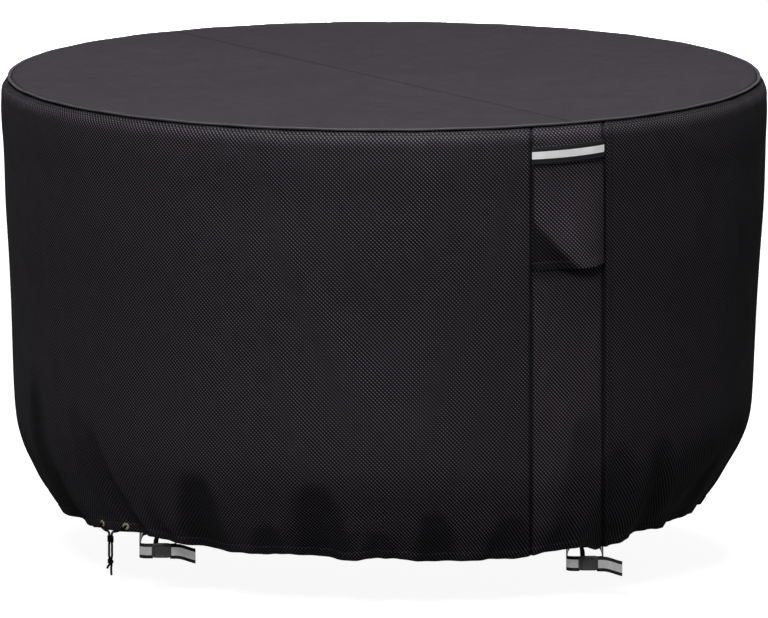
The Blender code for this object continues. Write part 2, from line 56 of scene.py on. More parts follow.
# The top: a flat disc of two panels, whose seam passes the centre at SEAM_OFFSET.
TOP_RADIUS = 0.6195
SEAM_TURN = 57.8
SEAM_OFFSET = -0.0266

# The piping between top and skirt.
WELT_RADIUS = 0.6228
WELT_WIDE = 0.0052
WELT_TALL = 0.0044

# The skirt: where it starts, the plane of each seam beside the strip, and the seam at the back.
SKIRT_START = 0.0036
STRIP_LEFT_X = 0.2419
STRIP_RIGHT_X = 0.3607
BACK_TURN = 208.0
TOPSTITCH = 0.0110
GAP = 0.0003

# The skirt's outside in section: drop, radius.
PROFILE = (
    (0.000, 0.6215),
    (0.004, 0.6255),
    (0.015, 0.6330),
    (0.040, 0.6360),
    (0.065, 0.6360),
    (0.108, 0.6335),
    (0.209, 0.6300),
    (0.309, 0.6235),
    (0.377, 0.6200),
    (0.444, 0.6175),
    (0.511, 0.6150),
    (0.545, 0.6130),
    (0.579, 0.6090),
    (0.612, 0.6000),
    (0.646, 0.5850),
    (0.679, 0.5690),
    (0.710, 0.5480),
    (0.740, 0.5300),
)

# The gathered hem all the way round: turn, drop of its edge, how much further in the cord pulls it.
HEM = (
    (-86, 0.7190, 0.000),
    (-75, 0.7150, 0.000),
    (-66, 0.7190, 0.000),
    (-58, 0.7130, 0.000),
    (-52, 0.7100, 0.000),
    (-47, 0.7100, 0.002),
    (-42, 0.7150, 0.002),
    (-38, 0.7180, 0.002),
    (-28, 0.7230, 0.000),
    (-22, 0.7235, 0.000),
    (-15, 0.7215, 0.000),
    (-7, 0.7285, -0.004),
    (0, 0.7235, -0.004),
    (9, 0.7315, -0.008),
    (16, 0.7300, -0.010),
    (24, 0.7310, -0.010),
    (29, 0.7240, -0.010),
    (37, 0.7210, -0.014),
    (42, 0.7320, -0.012),
    (46, 0.7245, -0.002),
    (52, 0.7180, 0.012),
    (60, 0.7185, 0.020),
    (75, 0.7160, 0.020),
    (88, 0.7150, 0.016),
    (105, 0.7180, 0.008),
    (125, 0.7150, 0.002),
    (150, 0.7210, 0.000),
    (175, 0.7170, 0.002),
    (200, 0.7220, 0.000),
    (225, 0.7160, 0.003),
    (250, 0.7200, 0.000),
)

# The hollows between the gathers, each from its tip down to the hem: turn and drop of the tip, turns of
# its left and right sides at the hem, depth at the hem, and how shaded the cloth lies in it.
HOLLOWS = (
    (-84, 0.610, -88, -79, 0.009, 0.75),
    (-70, 0.474, -75, -64, 0.015, 1.00),
    (-53, 0.520, -50, -44, 0.010, 0.67),
    (-42, 0.650, -43, -38, 0.007, 0.47),
    (-31, 0.581, -38, -27, 0.020, 1.00),
    (-20, 0.665, -24, -17, 0.010, 0.67),
    (-11, 0.591, -17, -5, 0.020, 0.80),
    (-1, 0.675, -4, 3, 0.009, 0.60),
    (8, 0.640, 5, 13, 0.013, 0.87),
    (21, 0.650, 17, 26, 0.010, 0.67),
    (31, 0.655, 28, 35, 0.009, 0.85),
    (39, 0.540, 35, 47, 0.020, 0.50),
    (48, 0.538, 49, 59, 0.018, 0.50),
    (67, 0.600, 62, 73, 0.015, 0.60),
    (81, 0.560, 77, 87, 0.014, 0.60),
    (98, 0.600, 93, 104, 0.016, 1.00),
    (113, 0.545, 108, 118, 0.017, 1.00),
    (129, 0.640, 125, 134, 0.010, 0.67),
    (144, 0.570, 138, 150, 0.018, 1.00),
    (160, 0.655, 156, 165, 0.010, 0.67),
    (174, 0.580, 168, 181, 0.019, 1.00),
    (192, 0.650, 188, 197, 0.010, 0.67),
    (208, 0.620, 203, 213, 0.012, 0.80),
    (222, 0.560, 217, 228, 0.017, 1.00),
    (237, 0.650, 233, 242, 0.010, 0.67),
    (251, 0.575, 246, 258, 0.018, 1.00),
    (265, 0.640, 262, 270, 0.010, 0.67),
)

# The drop at which a hollow has its full depth and width.
GATHER_DROP = 0.722

# Folds too shallow to stand in the form that still shade the cloth, in the same columns.
SHADED_FOLDS = (
    (33, 0.480, 27, 37, 0.0, 0.60),
    (-57, 0.490, -54, -46, 0.0, 0.45),
)

# Soft ridges and troughs in the hanging skirt: turn and drop of one end, turn and drop of the other, half
# width, height. A negative height is a trough.
WRINKLES = (
    (-61.5, 0.120, -62.5, 0.560, 0.016, 0.0016),
    (-51.0, 0.050, -43.0, 0.290, 0.013, 0.0014),
    (-46.0, 0.040, -39.0, 0.220, 0.015, -0.0012),
    (-24.0, 0.300, -29.0, 0.560, 0.022, 0.0010),
    (4.0, 0.330, 8.0, 0.620, 0.024, 0.0010),
    (44.0, 0.020, 50.0, 0.140, 0.012, -0.0018),
    (49.0, 0.030, 60.0, 0.090, 0.012, 0.0014),
    (66.0, 0.180, 62.0, 0.520, 0.024, 0.0012),
    (92.0, 0.080, 96.0, 0.420, 0.022, 0.0014),
    (124.0, 0.060, 118.0, 0.380, 0.020, -0.0013),
    (158.0, 0.240, 163.0, 0.590, 0.022, 0.0014),
    (190.0, 0.060, 186.0, 0.330, 0.018, 0.0013),
    (226.0, 0.120, 232.0, 0.520, 0.022, -0.0012),
    (262.0, 0.050, 258.0, 0.400, 0.020, 0.0014),
)

# Wrinkles in the top: x and y of one end, x and y of the other, half width, height.
TOP_WRINKLES = (
    (-0.400, 0.380, -0.230, 0.150, 0.010, -0.0016),
    (-0.330, 0.360, -0.150, 0.110, 0.012, 0.0012),
    (-0.460, -0.050, -0.240, -0.330, 0.022, 0.0010),
    (0.120, 0.300, 0.420, 0.120, 0.026, 0.0010),
    (0.200, -0.120, 0.330, -0.400, 0.016, -0.0010),
    (-0.100, -0.300, 0.130, -0.480, 0.020, 0.0009),
)

# The handle band and the vent hood, as in the frame.
BAND_TOP = 0.0296
BAND_SLOPE = 0.0035
BAND_HEIGHT = 0.0290
BAND_THICK = 0.0020
BAND_STANDS = 0.0085
HOOD_TOP = 0.0628
HOOD_LEFT_EDGE = 0.2390
HOOD_RIGHT_EDGE = 0.2350
HOOD_STANDS = 0.0230
HOOD_THICK = 0.0016
HOOD_CLEAR = 0.0011
HOOD_PEAK = 0.56

# Eyelets: turn, height of the centre above the hem's edge.
EYELETS = {"left": (-56.3, 0.0090), "right": (-50.0, 0.0098)}
EYELET_RADIUS = 0.0060
EYELET_BORE = 0.0026
EYELET_HOLE = 0.0040

# Between the eyelets the cord draws the hem's edge outwards: turn of the middle, reach each way, amount.
FLARE_TURN = -53.2
FLARE_REACH = 6.0
FLARE = 0.0160

# The drawcord and its two knots: drop, height, how far the strands are turned.
CORD = 0.0038
CORD_STEP = 0.0014
KNOTS = {"upper": (0.7225, 0.0135, 0.0), "lower": (0.7600, 0.0088, 40.0)}

# The leg straps: the left and right limits of the loop, how far in front of the centre its front runs,
# the drop of its middle, and the buckle's left side.
STRAPS = {
    "left": {"left": -0.4039, "right": -0.3425, "front": 0.3750, "drop": 0.7384, "buckle": -0.3835},
    "right": {"left": 0.3005, "right": 0.3620, "front": 0.4120, "drop": 0.7535, "buckle": 0.3205},
}
WEB = 0.0250
WEB_THICK = 0.0016
LOOP_DEPTH = 0.0480
LOOP_CORNER = 0.0120
LOOP_RISE = 0.0320
BUCKLE_LONG = 0.0325
BUCKLE_TALL = 0.0240
BUCKLE_THICK = 0.0085
BUCKLE_UP = 0.0012
TAIL_LONG = 0.0420
TAIL_DROOP = 0.0085
TUCKED = 0.0020
TAB_WIDE = 0.0080
TAB_THICK = 0.0012
TAB_UP = 0.0180

# The finishes: pitch of the cloth's stitches and how much of it shows, how sharply its threads stand out
# and their brightness between and on the ribs, how dark its painted shade at seams, folds and hem goes,
# pitch of the cord's braid, the reflective stripe's painted glow, and the painted shade of the right-hand
# side and painted light of the strip and the hood.
STITCH = 0.0042
STITCH_SHARE = 0.68
THREAD_POWER = 4.6
THREAD_GAIN = 7.15
THREAD_LEAST = 0.02
THREAD_MEAN = 1.12
SHADOW_DEPTH = 0.80
BRAID_PITCH = 0.00235
STRIPE_PAINTED_GLOW = 0.42
RIGHT_PAINTED_SHADE = 0.84
STRIP_PAINTED_LIGHT = 1.30
TOP_CRISP = 0.35

# The stage: how far below the rim the floor is and how far it reaches each way, and the camera's slope,
# the drop that it looks at, its distance and its lens.
FLOOR_DROP = 0.8160
FLOOR_REACH = 40.0
VIEW_SLOPE = 8.73
VIEW_DROP = 0.3919
VIEW_AWAY = 44.33
VIEW_LENS = 1250.0

# The lights: name, place, what it points at, size, power.
LIGHTS = (
    ("overhead_softbox", (0.1, -0.8, 4.4), (0.0, 0.0, 0.0), 3.0, 160.0),
    ("front_softbox", (-1.4, -6.6, 3.6), (0.0, 0.0, -0.4), 2.0, 150.0),
    ("right_fill", (5.5, -4.5, 1.2), (0.0, 0.0, -0.4), 2.6, 8.0),
    ("back_softbox", (0.0, 6.4, -0.40), (0.0, 0.0, -0.4), 0.7, 80.0),
)


# ---------------------------------------------------------------- curves and surfaces


def smooth_curve(rows, column, at):
    """A column of a table of rows as a smooth curve through its points, read at the values at."""
    table = np.array(rows, float)
    x, y = table[:, 0], table[:, column]
    slope = np.gradient(y, x)
    i = np.clip(np.searchsorted(x, at, side="right") - 1, 0, len(x) - 2)
    wide = x[i + 1] - x[i]
    t = np.clip((at - x[i]) / wide, 0.0, 1.0)
    return (
        (2 * t**3 - 3 * t**2 + 1) * y[i]
        + (t**3 - 2 * t**2 + t) * wide * slope[i]
        + (3 * t**2 - 2 * t**3) * y[i + 1]
        + (t**3 - t**2) * wide * slope[i + 1]
    )


def ease(low, high, at):
    """0 below low, 1 above high and a smooth rise between."""
    t = np.clip((at - low) / (high - low), 0.0, 1.0)
    return t * t * (3 - 2 * t)


def turn_between(a, b):
    """The smaller signed angle from b to a, in degrees."""
    return (a - b + 180.0) % 360.0 - 180.0


def hem_edge(turn, column):
    """A column of the hem's table at any turn, the table repeated so that it closes on itself."""
    rows = [(row[0] + shift, *row[1:]) for shift in (-360, 0, 360) for row in HEM]
    return smooth_curve(rows, column, (np.asarray(turn) + 86.0) % 360.0 - 86.0)


def hollows(turn, drop):
    """How far in the gathers' hollows take the cloth: each widens and deepens from its tip to the hem."""
    inwards = np.zeros(np.broadcast(turn, drop).shape)
    for tip_turn, tip_drop, left, right, depth, _ in HOLLOWS:
        down = np.clip((drop - tip_drop) / (GATHER_DROP - tip_drop), 0.0, 1.2)
        middle = tip_turn + ((left + right) / 2 - tip_turn) * np.clip(down, 0, 1)
        half = (right - left) / 2 * (0.30 + 0.70 * np.clip(down, 0, 1) ** 0.7)
        away = np.abs(turn_between(turn, middle)) / half
        across = np.cos(np.clip(away / 1.25, 0, 1) * math.pi / 2) ** 2
        inwards = inwards + depth * down**0.75 * across
    return inwards


def fold_shade(turn, drop):
    """How shaded the cloth lies in the gathers' hollows, from 0 to 1: full just below each tip and fading
    over its sides."""
    shaded = np.zeros(np.broadcast(turn, drop).shape)
    for tip_turn, tip_drop, left, right, _, deep in HOLLOWS + SHADED_FOLDS:
        down = (drop - tip_drop) / (GATHER_DROP - tip_drop)
        middle = tip_turn + ((left + right) / 2 - tip_turn) * np.clip(down, 0, 1)
        half = (right - left) / 2 * (0.34 + 0.72 * np.clip(down, 0, 1) ** 0.6)
        away = np.abs(turn_between(turn, middle)) / half
        shaded = np.maximum(shaded, deep * ease(-0.06, 0.16, down) * (1 - ease(0.50, 1.20, away)))
    return shaded


def skirt(turn, drop):
    """The outside of the skirt at a turn and a drop: the section turned round, less the gathers."""
    pulled = hem_edge(turn, 2) * ease(0.54, 0.71, drop)
    radius = smooth_curve(PROFILE, 1, drop) - hollows(turn, drop) - pulled
    flare = FLARE * np.exp(-((turn_between(turn, FLARE_TURN) / FLARE_REACH) ** 2))
    radius = radius + flare * ease(0.686, 0.720, drop)
    angle = np.radians(turn)
    return np.stack(
        np.broadcast_arrays(radius * np.sin(angle), -radius * np.cos(angle), -np.asarray(drop, float)), -1
    )


def outward(turn, drop):
    """The unit normals of the skirt's outside, from its slopes along a turn and along a drop."""
    across = skirt(turn + 0.4, drop) - skirt(turn - 0.4, drop)
    down = skirt(turn, drop + 0.0008) - skirt(turn, drop - 0.0008)
    normal = np.cross(down, across)
    return normal / np.linalg.norm(normal, axis=-1, keepdims=True)


def turn_at(x, drop):
    """The turn at which the skirt's front meets the upright plane of that x, by repeated correction."""
    turn = np.degrees(np.arcsin(x / 0.62)) + 0 * drop
    for _ in range(12):
        radius = np.linalg.norm(skirt(turn, drop)[..., :2], axis=-1)
        turn = np.degrees(np.arcsin(np.clip(x / radius, -1, 1)))
    return turn


def seam_turns(x):
    """The turns of an upright seam, as a function that reads them from a fine table of drops."""
    drops = np.linspace(0.0, 0.76, 191)
    turns = turn_at(x, drops)
    return lambda drop: np.interp(drop, drops, turns)


def wrinkle_relief(turn, drop):
    """Soft ridges and troughs: each is a bell across the line between its ends and fades at both ends."""
    relief = np.zeros(np.broadcast(turn, drop).shape)
    for turn_a, drop_a, turn_b, drop_b, half, height in WRINKLES:
        scale = 0.63 * math.pi / 180
        along_x, along_z = (turn_b - turn_a) * scale, drop_b - drop_a
        length = math.hypot(along_x, along_z)
        x, z = turn_between(turn, turn_a) * scale, drop - drop_a
        along = (x * along_x + z * along_z) / length**2
        away = (x * along_z - z * along_x) / length
        fade = ease(-0.15, 0.25, along) * (1 - ease(0.75, 1.15, along))
        relief = relief + height * fade * np.exp(-((away / half) ** 2))
    return relief


def gather_relief(turn, drop, edge):
    """The fine puckers of the gathered hem: ripples of uneven width that die out above the hem, and the
    stitched channel for the cord, a shallow step just above the edge."""
    above = edge - drop
    wobble = turn + 1.1 * np.sin(np.radians(turn * 7.0 + 20)) + 0.7 * np.sin(np.radians(turn * 17.0))
    ripple = np.sin(np.radians(wobble * 110.0)) + 0.6 * np.sin(np.radians(wobble * 71.0 + 40))
    broad = np.sin(np.radians(wobble * 47.0 + 60.0))
    fine = 0.00055 * ripple * np.exp(-((above / 0.026) ** 2))
    wide = 0.0012 * broad * np.exp(-(((above - 0.010) / 0.050) ** 2))
    channel = 0.0007 * (1 - ease(0.0125, 0.0150, above))
    stitches = 0.0008 * np.exp(-(((above - 0.0140) / 0.0016) ** 2))
    return fine + wide + channel - stitches


def cloth_relief(turn, drop, edge):
    """What the hanging cloth adds to the skirt's plain form: slack, wrinkles, puckers, and the tucks where
    it is sewn at the rim and down the strip's two seams."""
    slack = 0.0009 * np.sin(np.radians(turn * 5.0 + 40.0)) * np.sin(drop * 7.0 + 0.4)
    slack = slack + 0.0006 * np.sin(np.radians(turn * 11.0 + 90.0) + drop * 9.0)
    slack = slack * ease(0.03, 0.16, drop)
    rim_pull = 0.00045 * np.sin(np.radians(turn * 53.0) + 1.3 * np.sin(np.radians(turn * 9.0)))
    rim_pull = rim_pull * np.exp(-((drop - 0.012) / 0.016) ** 2)
    stitch = -0.0007 * np.exp(-(((drop - 0.0100) / 0.0014) ** 2))
    x = skirt(turn, drop)[..., 0]
    front = np.abs(turn_between(turn, 0.0)) < 90
    tuck = np.zeros_like(x)
    for seam, depth, half in (
        (STRIP_LEFT_X, 0.0022, 0.0026),
        (STRIP_RIGHT_X, 0.0026, 0.0030),
        (STRIP_RIGHT_X + TOPSTITCH, 0.0010, 0.0018),
    ):
        tuck = tuck - depth * front * np.exp(-(((x - seam) / half) ** 2))
    raised = 0.0006 * front * ease(STRIP_RIGHT_X + 0.001, STRIP_RIGHT_X + 0.003, x)
    raised = raised * (1 - ease(STRIP_RIGHT_X + TOPSTITCH, STRIP_RIGHT_X + TOPSTITCH + 0.002, x))
    back = -0.0015 * np.exp(-((turn_between(turn, BACK_TURN) * 0.011 / 0.0024) ** 2))
    moved = slack + wrinkle_relief(turn, drop) + gather_relief(turn, drop, edge)
    for which in EYELETS:
        at_turn, at_drop = eyelet_place(which)
        away = np.hypot(turn_between(turn, at_turn) * 0.0099, drop - at_drop)
        moved = moved * ease(0.0070, 0.0130, away)
    return moved + rim_pull + stitch + tuck + raised + back


# ---------------------------------------------------------------- meshes


def mesh_from(name, points, faces, uv=None, extra=None, sharp=50.0):
    """A piece with these points and faces, its faces turned outwards, smooth up to the sharp angle, with
    the points' flat cloth places as its UV map and any extra values as attributes."""
    points = np.asarray(points, float).reshape(-1, 3)
    faces = [np.asarray(group) for group in faces]
    about = points - points.mean(axis=0)
    volume = 0.0
    for group in faces:
        for k in range(1, group.shape[1] - 1):
            a, b, c = about[group[:, 0]], about[group[:, k]], about[group[:, k + 1]]
            volume += (a * np.cross(b, c)).sum()
    if volume < 0:
        faces = [group[:, ::-1] for group in faces]
    loops = np.concatenate([group.reshape(-1) for group in faces]).astype(np.int32)
    sizes = np.concatenate([np.full(len(group), group.shape[1]) for group in faces])
    starts = np.concatenate([[0], np.cumsum(sizes)[:-1]]).astype(np.int32)
    mesh = bpy.data.meshes.new(name)
    mesh.vertices.add(len(points))
    mesh.vertices.foreach_set("co", points.astype(np.float32).ravel())
    mesh.loops.add(len(loops))
    mesh.loops.foreach_set("vertex_index", loops)
    mesh.polygons.add(len(sizes))
    mesh.polygons.foreach_set("loop_start", starts)
    mesh.update(calc_edges=True)
    if uv is not None:
        layer = mesh.uv_layers.new(name="cloth")
        layer.data.foreach_set("uv", np.asarray(uv, float).reshape(-1, 2)[loops].astype(np.float32).ravel())
    for key, values in (extra or {}).items():
        attribute = mesh.attributes.new(key, "FLOAT", "POINT")
        attribute.data.foreach_set("value", np.asarray(values, float).ravel().astype(np.float32))
    mesh.validate()
    mesh.shade_smooth()
    mesh.set_sharp_from_angle(angle=math.radians(sharp))
    made = bpy.data.objects.new(name, mesh)
    bpy.context.scene.collection.objects.link(made)
    return made


def thin_sheet(name, outside, inside, uv, extra=None, kept=None):
    """A closed thin sheet between two grids of points, with a wall wherever it ends: round its edge and
    round the holes where kept, one value for each face of the grid, is false."""
    rows, columns = outside.shape[:2]
    at = np.arange(rows * columns).reshape(rows, columns)
    count = rows * columns
    a, b, c, d = at[:-1, :-1], at[1:, :-1], at[1:, 1:], at[:-1, 1:]
    if kept is None:
        kept = np.ones(a.shape, bool)
    front = np.stack([a, b, c, d], -1)[kept]
    back = front[:, ::-1] + count
    inner = np.pad(kept, 1)
    wall = []
    for side, start, end in (
        (inner[1:-1, :-2], a, b),
        (inner[2:, 1:-1], b, c),
        (inner[1:-1, 2:], c, d),
        (inner[:-2, 1:-1], d, a),
    ):
        ends = kept & ~side
        wall.append(np.stack([start[ends], start[ends] + count, end[ends] + count, end[ends]], -1))
    wall = np.concatenate(wall)
    points = np.concatenate([outside.reshape(-1, 3), inside.reshape(-1, 3)])
    uv = np.concatenate([np.asarray(uv).reshape(-1, 2)] * 2)
    doubled = {key: np.concatenate([np.ravel(values)] * 2) for key, values in (extra or {}).items()}
    return mesh_from(name, points, [front, back, wall], uv, doubled)


def carried(name, sections, closed, around=None, along=None, sharp=50.0):
    """A solid through sections of points, closed on itself or with a flat cap at each end."""
    sections = np.asarray(sections, float)
    count, sides = sections.shape[:2]
    i = np.arange(count if closed else count - 1)[:, None]
    j = np.arange(sides)[None, :]
    k, m = (i + 1) % count, (j + 1) % sides
    body = np.stack(np.broadcast_arrays(i * sides + j, k * sides + j, k * sides + m, i * sides + m), -1)
    faces = [body.reshape(-1, 4)]
    if not closed:
        last = (count - 1) * sides
        faces += [np.arange(sides)[None, :], np.arange(last + sides - 1, last - 1, -1)[None, :]]
    if along is None:
        step = np.linalg.norm(np.diff(sections.mean(axis=1), axis=0), axis=1)
        along = np.concatenate([[0], np.cumsum(step)])
    if around is None:
        ring = np.linalg.norm(np.diff(sections[count // 2], axis=0), axis=1)
        around = np.concatenate([[0], np.cumsum(ring)])
    uv = np.stack(np.broadcast_arrays(np.asarray(along)[:, None], np.asarray(around)[None, :]), -1)
    return mesh_from(name, sections, faces, uv, sharp=sharp)


def put(piece, node, paint):
    """A piece takes the place of its node in the frame, with its finish."""
    piece.data.materials.clear()
    piece.data.materials.append(paint)
    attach(piece, "root")
    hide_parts(node)
    return piece


# ---------------------------------------------------------------- finishes


class Paint:
    """Node building in short steps: each call adds one node and gives back its output."""

    def __init__(self, name, colour, rough, metal=0.0, sheen=0.0, specular=0.5):
        self.material = bpy.data.materials.new(name)
        self.material.use_nodes = True
        self.tree = self.material.node_tree
        self.shader = self.tree.nodes["Principled BSDF"]
        self.shader.inputs["Base Color"].default_value = (*colour, 1.0)
        self.shader.inputs["Roughness"].default_value = rough
        self.shader.inputs["Metallic"].default_value = metal
        self.shader.inputs["Sheen Weight"].default_value = sheen
        self.shader.inputs["Specular IOR Level"].default_value = specular

    def link(self, value, socket):
        """A number or colour set on a socket, or an output linked to it."""
        if isinstance(value, (int, float)):
            socket.default_value = value
        elif isinstance(value, tuple):
            socket.default_value = value if len(value) == len(socket.default_value) else (*value, 1.0)
        else:
            self.tree.links.new(value, socket)

    def maths(self, operation, a, b=0.0):
        """One sum of two values or numbers."""
        node = self.tree.nodes.new("ShaderNodeMath")
        node.operation = operation
        self.link(a, node.inputs[0])
        self.link(b, node.inputs[1])
        return node.outputs[0]

    def place(self):
        """The cloth's flat place, u and v in metres."""
        node = self.tree.nodes.new("ShaderNodeUVMap")
        node.uv_map = "cloth"
        split = self.tree.nodes.new("ShaderNodeSeparateXYZ")
        self.tree.links.new(node.outputs[0], split.inputs[0])
        return split.outputs[0], split.outputs[1]

    def object_place(self):
        """The place in the object's own space, x, y and z in metres."""
        node = self.tree.nodes.new("ShaderNodeTexCoord")
        split = self.tree.nodes.new("ShaderNodeSeparateXYZ")
        self.tree.links.new(node.outputs["Object"], split.inputs[0])
        return split.outputs[0], split.outputs[1], split.outputs[2]

    def value(self, name):
        """A value that the piece's points carry."""
        node = self.tree.nodes.new("ShaderNodeAttribute")
        node.attribute_name = name
        return node.outputs["Fac"]

    def noise(self, scale, detail=3.0, rough=0.55):
        """Noise in the object's own space."""
        node = self.tree.nodes.new("ShaderNodeTexNoise")
        where = self.tree.nodes.new("ShaderNodeTexCoord")
        self.tree.links.new(where.outputs["Object"], node.inputs["Vector"])
        node.inputs["Scale"].default_value = scale
        node.inputs["Detail"].default_value = detail
        node.inputs["Roughness"].default_value = rough
        return node.outputs[0]

    def span(self, value, low, high, to_low=0.0, to_high=1.0):
        """The value from low to high carried onto another span, smoothly, and held at its ends."""
        node = self.tree.nodes.new("ShaderNodeMapRange")
        node.interpolation_type = "SMOOTHSTEP"
        self.link(value, node.inputs["Value"])
        for name, number in zip(("From Min", "From Max", "To Min", "To Max"), (low, high, to_low, to_high)):
            node.inputs[name].default_value = number
        return node.outputs[0]

    def mix(self, share, a, b):
        """Colour a turned into colour b by a share."""
        node = self.tree.nodes.new("ShaderNodeMix")
        node.data_type = "RGBA"
        self.link(share, node.inputs["Factor"])
        self.link(a, node.inputs["A"])
        self.link(b, node.inputs["B"])
        return node.outputs["Result"]

    def toned(self, colour, tone):
        """A colour scaled by a value."""
        node = self.tree.nodes.new("ShaderNodeVectorMath")
        node.operation = "SCALE"
        node.inputs[0].default_value = colour
        self.tree.links.new(tone, node.inputs["Scale"])
        return node.outputs[0]

    def wave(self, value, pitch):
        """The sine that repeats once in each pitch of the value."""
        return self.maths("SINE", self.maths("MULTIPLY", value, 2 * math.pi / pitch))

    def line(self, place, at, half):
        """1 on a line where the value is at, falling to 0 half away."""
        away = self.maths("ABSOLUTE", self.maths("SUBTRACT", place, at))
        return self.span(away, half * 0.35, half, 1.0, 0.0)

    def dashes(self, along, pitch, share):
        """Dashes along a value: 1 for that share of each pitch."""
        return self.maths("LESS_THAN", self.maths("FRACT", self.maths("DIVIDE", along, pitch)), share)

    def bump(self, height, distance, strength=1.0):
        """A relief added on top of those before it."""
        node = self.tree.nodes.new("ShaderNodeBump")
        node.inputs["Strength"].default_value = strength
        node.inputs["Distance"].default_value = distance
        self.tree.links.new(height, node.inputs["Height"])
        before = self.shader.inputs["Normal"]
        if before.is_linked:
            self.tree.links.new(before.links[0].from_socket, node.inputs["Normal"])
        self.tree.links.new(node.outputs[0], before)


def shade(colour, by):
    """A colour with each of its parts scaled."""
    return tuple(c * by for c in colour)


def cloth_paint(name, colours, sizes, stitched=(), by=1.0, crisp=1.0):
    """Coated oxford cloth: a diagonal rib of crossed threads in the cloth's own flat place, slow patches
    of tone, painted shade from the seam_shadow values, and rows of stitches where stitched says: (kind,
    place, half width). by scales the tone, painting shade below 1 and light above 1, and crisp says how much
    of the ribs' contrast shows."""
    p = Paint(name, colours.cloth, 0.66, sheen=0.03, specular=0.28)
    u, v = p.place()
    rib = p.wave(p.maths("SUBTRACT", u, v), sizes.weave)
    cross = p.wave(p.maths("ADD", u, v), sizes.weave)
    weave = p.maths("ADD", p.maths("MULTIPLY", rib, 0.34), p.maths("MULTIPLY", cross, 0.16))
    weave = p.maths("ADD", weave, 0.5)
    threads = p.maths("MULTIPLY", p.maths("POWER", weave, THREAD_POWER), THREAD_GAIN * crisp)
    threads = p.maths("ADD", threads, THREAD_LEAST + THREAD_MEAN * (1 - crisp))
    patches = p.span(p.noise(3.2, 4.0), 0.30, 0.72, 0.95, 1.04)
    dust = p.span(p.noise(38.0, 5.0, 0.65), 0.35, 0.75, 0.94, 1.08)
    tone = p.maths("MULTIPLY", p.maths("MULTIPLY", patches, dust), p.maths("MULTIPLY", threads, by))
    # Painted shade: the seam_shadow values darken the tone.
    seam = p.maths("SUBTRACT", 1.0, p.maths("MULTIPLY", p.value("seam_shadow"), SHADOW_DEPTH))
    tone = p.maths("MULTIPLY", tone, seam)
    colour = p.toned(tuple(colours.cloth), tone)
    sewn = None
    x, y, z = p.object_place()
    for kind, at, half in stitched:
        if kind == "upright":
            row = p.maths("MULTIPLY", p.line(x, at, half), p.dashes(z, STITCH, STITCH_SHARE))
            row = p.maths("MULTIPLY", row, p.maths("LESS_THAN", y, 0.0))
        else:
            row = p.maths("MULTIPLY", p.line(p.value(kind), at, half), p.dashes(u, STITCH, STITCH_SHARE))
        sewn = row if sewn is None else p.maths("MAXIMUM", sewn, row)
    if sewn is not None:
        colour = p.mix(p.maths("MULTIPLY", sewn, 0.8), colour, shade(tuple(colours.cloth), 1.9))
    p.link(colour, p.shader.inputs["Base Color"])
    rough = p.span(p.noise(11.0, 4.0), 0.3, 0.7, 0.56, 0.72)
    p.link(rough, p.shader.inputs["Roughness"])
    p.bump(weave, 0.00035 * crisp, 0.55)
    if sewn is not None:
        p.bump(sewn, 0.0005, 0.8)
    return p.material


def piping_paint(colours):
    """The piping's own cloth: fine threads across it, and patches of wear."""
    p = Paint("piping_cloth", colours.piping, 0.58, sheen=0.15, specular=0.45)
    u, v = p.place()
    threads = p.wave(p.maths("ADD", u, v), 0.0031)
    threads = p.maths("ADD", p.maths("MULTIPLY", threads, 0.4), 0.5)
    worn = p.span(p.noise(26.0, 4.0), 0.35, 0.7, 0.8, 1.25)
    tone = p.maths("MULTIPLY", p.maths("ADD", p.maths("MULTIPLY", threads, 0.35), 0.5), worn)
    p.link(p.toned(tuple(colours.piping), p.maths("ADD", tone, 0.55)), p.shader.inputs["Base Color"])
    p.bump(threads, 0.0003, 0.5)
    return p.material


def webbing_paint(name, colours, stripe, edges, pale):
    """Webbing: weft ribs across it, a bright woven stripe along its middle that glows as painted light, and a
    row of stitches near each edge. v is the place across, from the lower edge, and pale says how bright the
    stripe and its painted glow are."""
    p = Paint(name, colours.webbing, 0.7, sheen=0.1, specular=0.4)
    u, v = p.place()
    ribs, warps = p.wave(u, 0.0017), p.wave(v, 0.0023)
    woven = p.maths("ADD", p.maths("MULTIPLY", ribs, 0.3), p.maths("MULTIPLY", warps, 0.15))
    woven = p.maths("ADD", woven, 0.5)
    low, high = stripe
    bright = p.maths("MULTIPLY", p.span(v, low - 0.0004, low), p.span(v, high, high + 0.0004, 1.0, 0.0))
    base = p.mix(woven, shade(tuple(colours.webbing), 0.6), shade(tuple(colours.webbing), 1.7))
    worn = p.span(p.noise(60.0, 4.0), 0.35, 0.75, 0.86, 1.06)
    tone = p.maths("ADD", p.maths("MULTIPLY", woven, 0.16), p.maths("MULTIPLY", worn, 0.9))
    pale_tone = p.toned(shade(tuple(colours.stripe), pale), tone)
    colour = p.mix(bright, base, pale_tone)
    for at in edges:
        row = p.maths("MULTIPLY", p.line(v, at, 0.0006), p.dashes(u, 0.0034, 0.66))
        colour = p.mix(p.maths("MULTIPLY", row, 0.7), colour, (0.09, 0.09, 0.092, 1.0))
    p.link(colour, p.shader.inputs["Base Color"])
    # Painted light: the stripe glows with its own colour, in place of light sent back by the reflective
    # stripe.
    p.link(p.mix(bright, (0.0, 0.0, 0.0, 1.0), pale_tone), p.shader.inputs["Emission Color"])
    p.shader.inputs["Emission Strength"].default_value = STRIPE_PAINTED_GLOW
    p.bump(woven, 0.00030, 0.6)
    return p.material


def brass_paint(colours):
    """Plated brass, a little tarnished and finely scratched."""
    p = Paint("brass", colours.brass, 0.26, metal=0.15)
    tarnish = p.span(p.noise(420.0, 5.0, 0.7), 0.35, 0.7)
    dull = shade(tuple(colours.brass), 0.72)
    p.link(p.mix(tarnish, tuple(colours.brass), dull), p.shader.inputs["Base Color"])
    p.link(p.span(p.noise(900.0, 3.0), 0.3, 0.7, 0.18, 0.38), p.shader.inputs["Roughness"])
    p.bump(p.noise(1400.0, 3.0), 0.00006, 0.4)
    return p.material


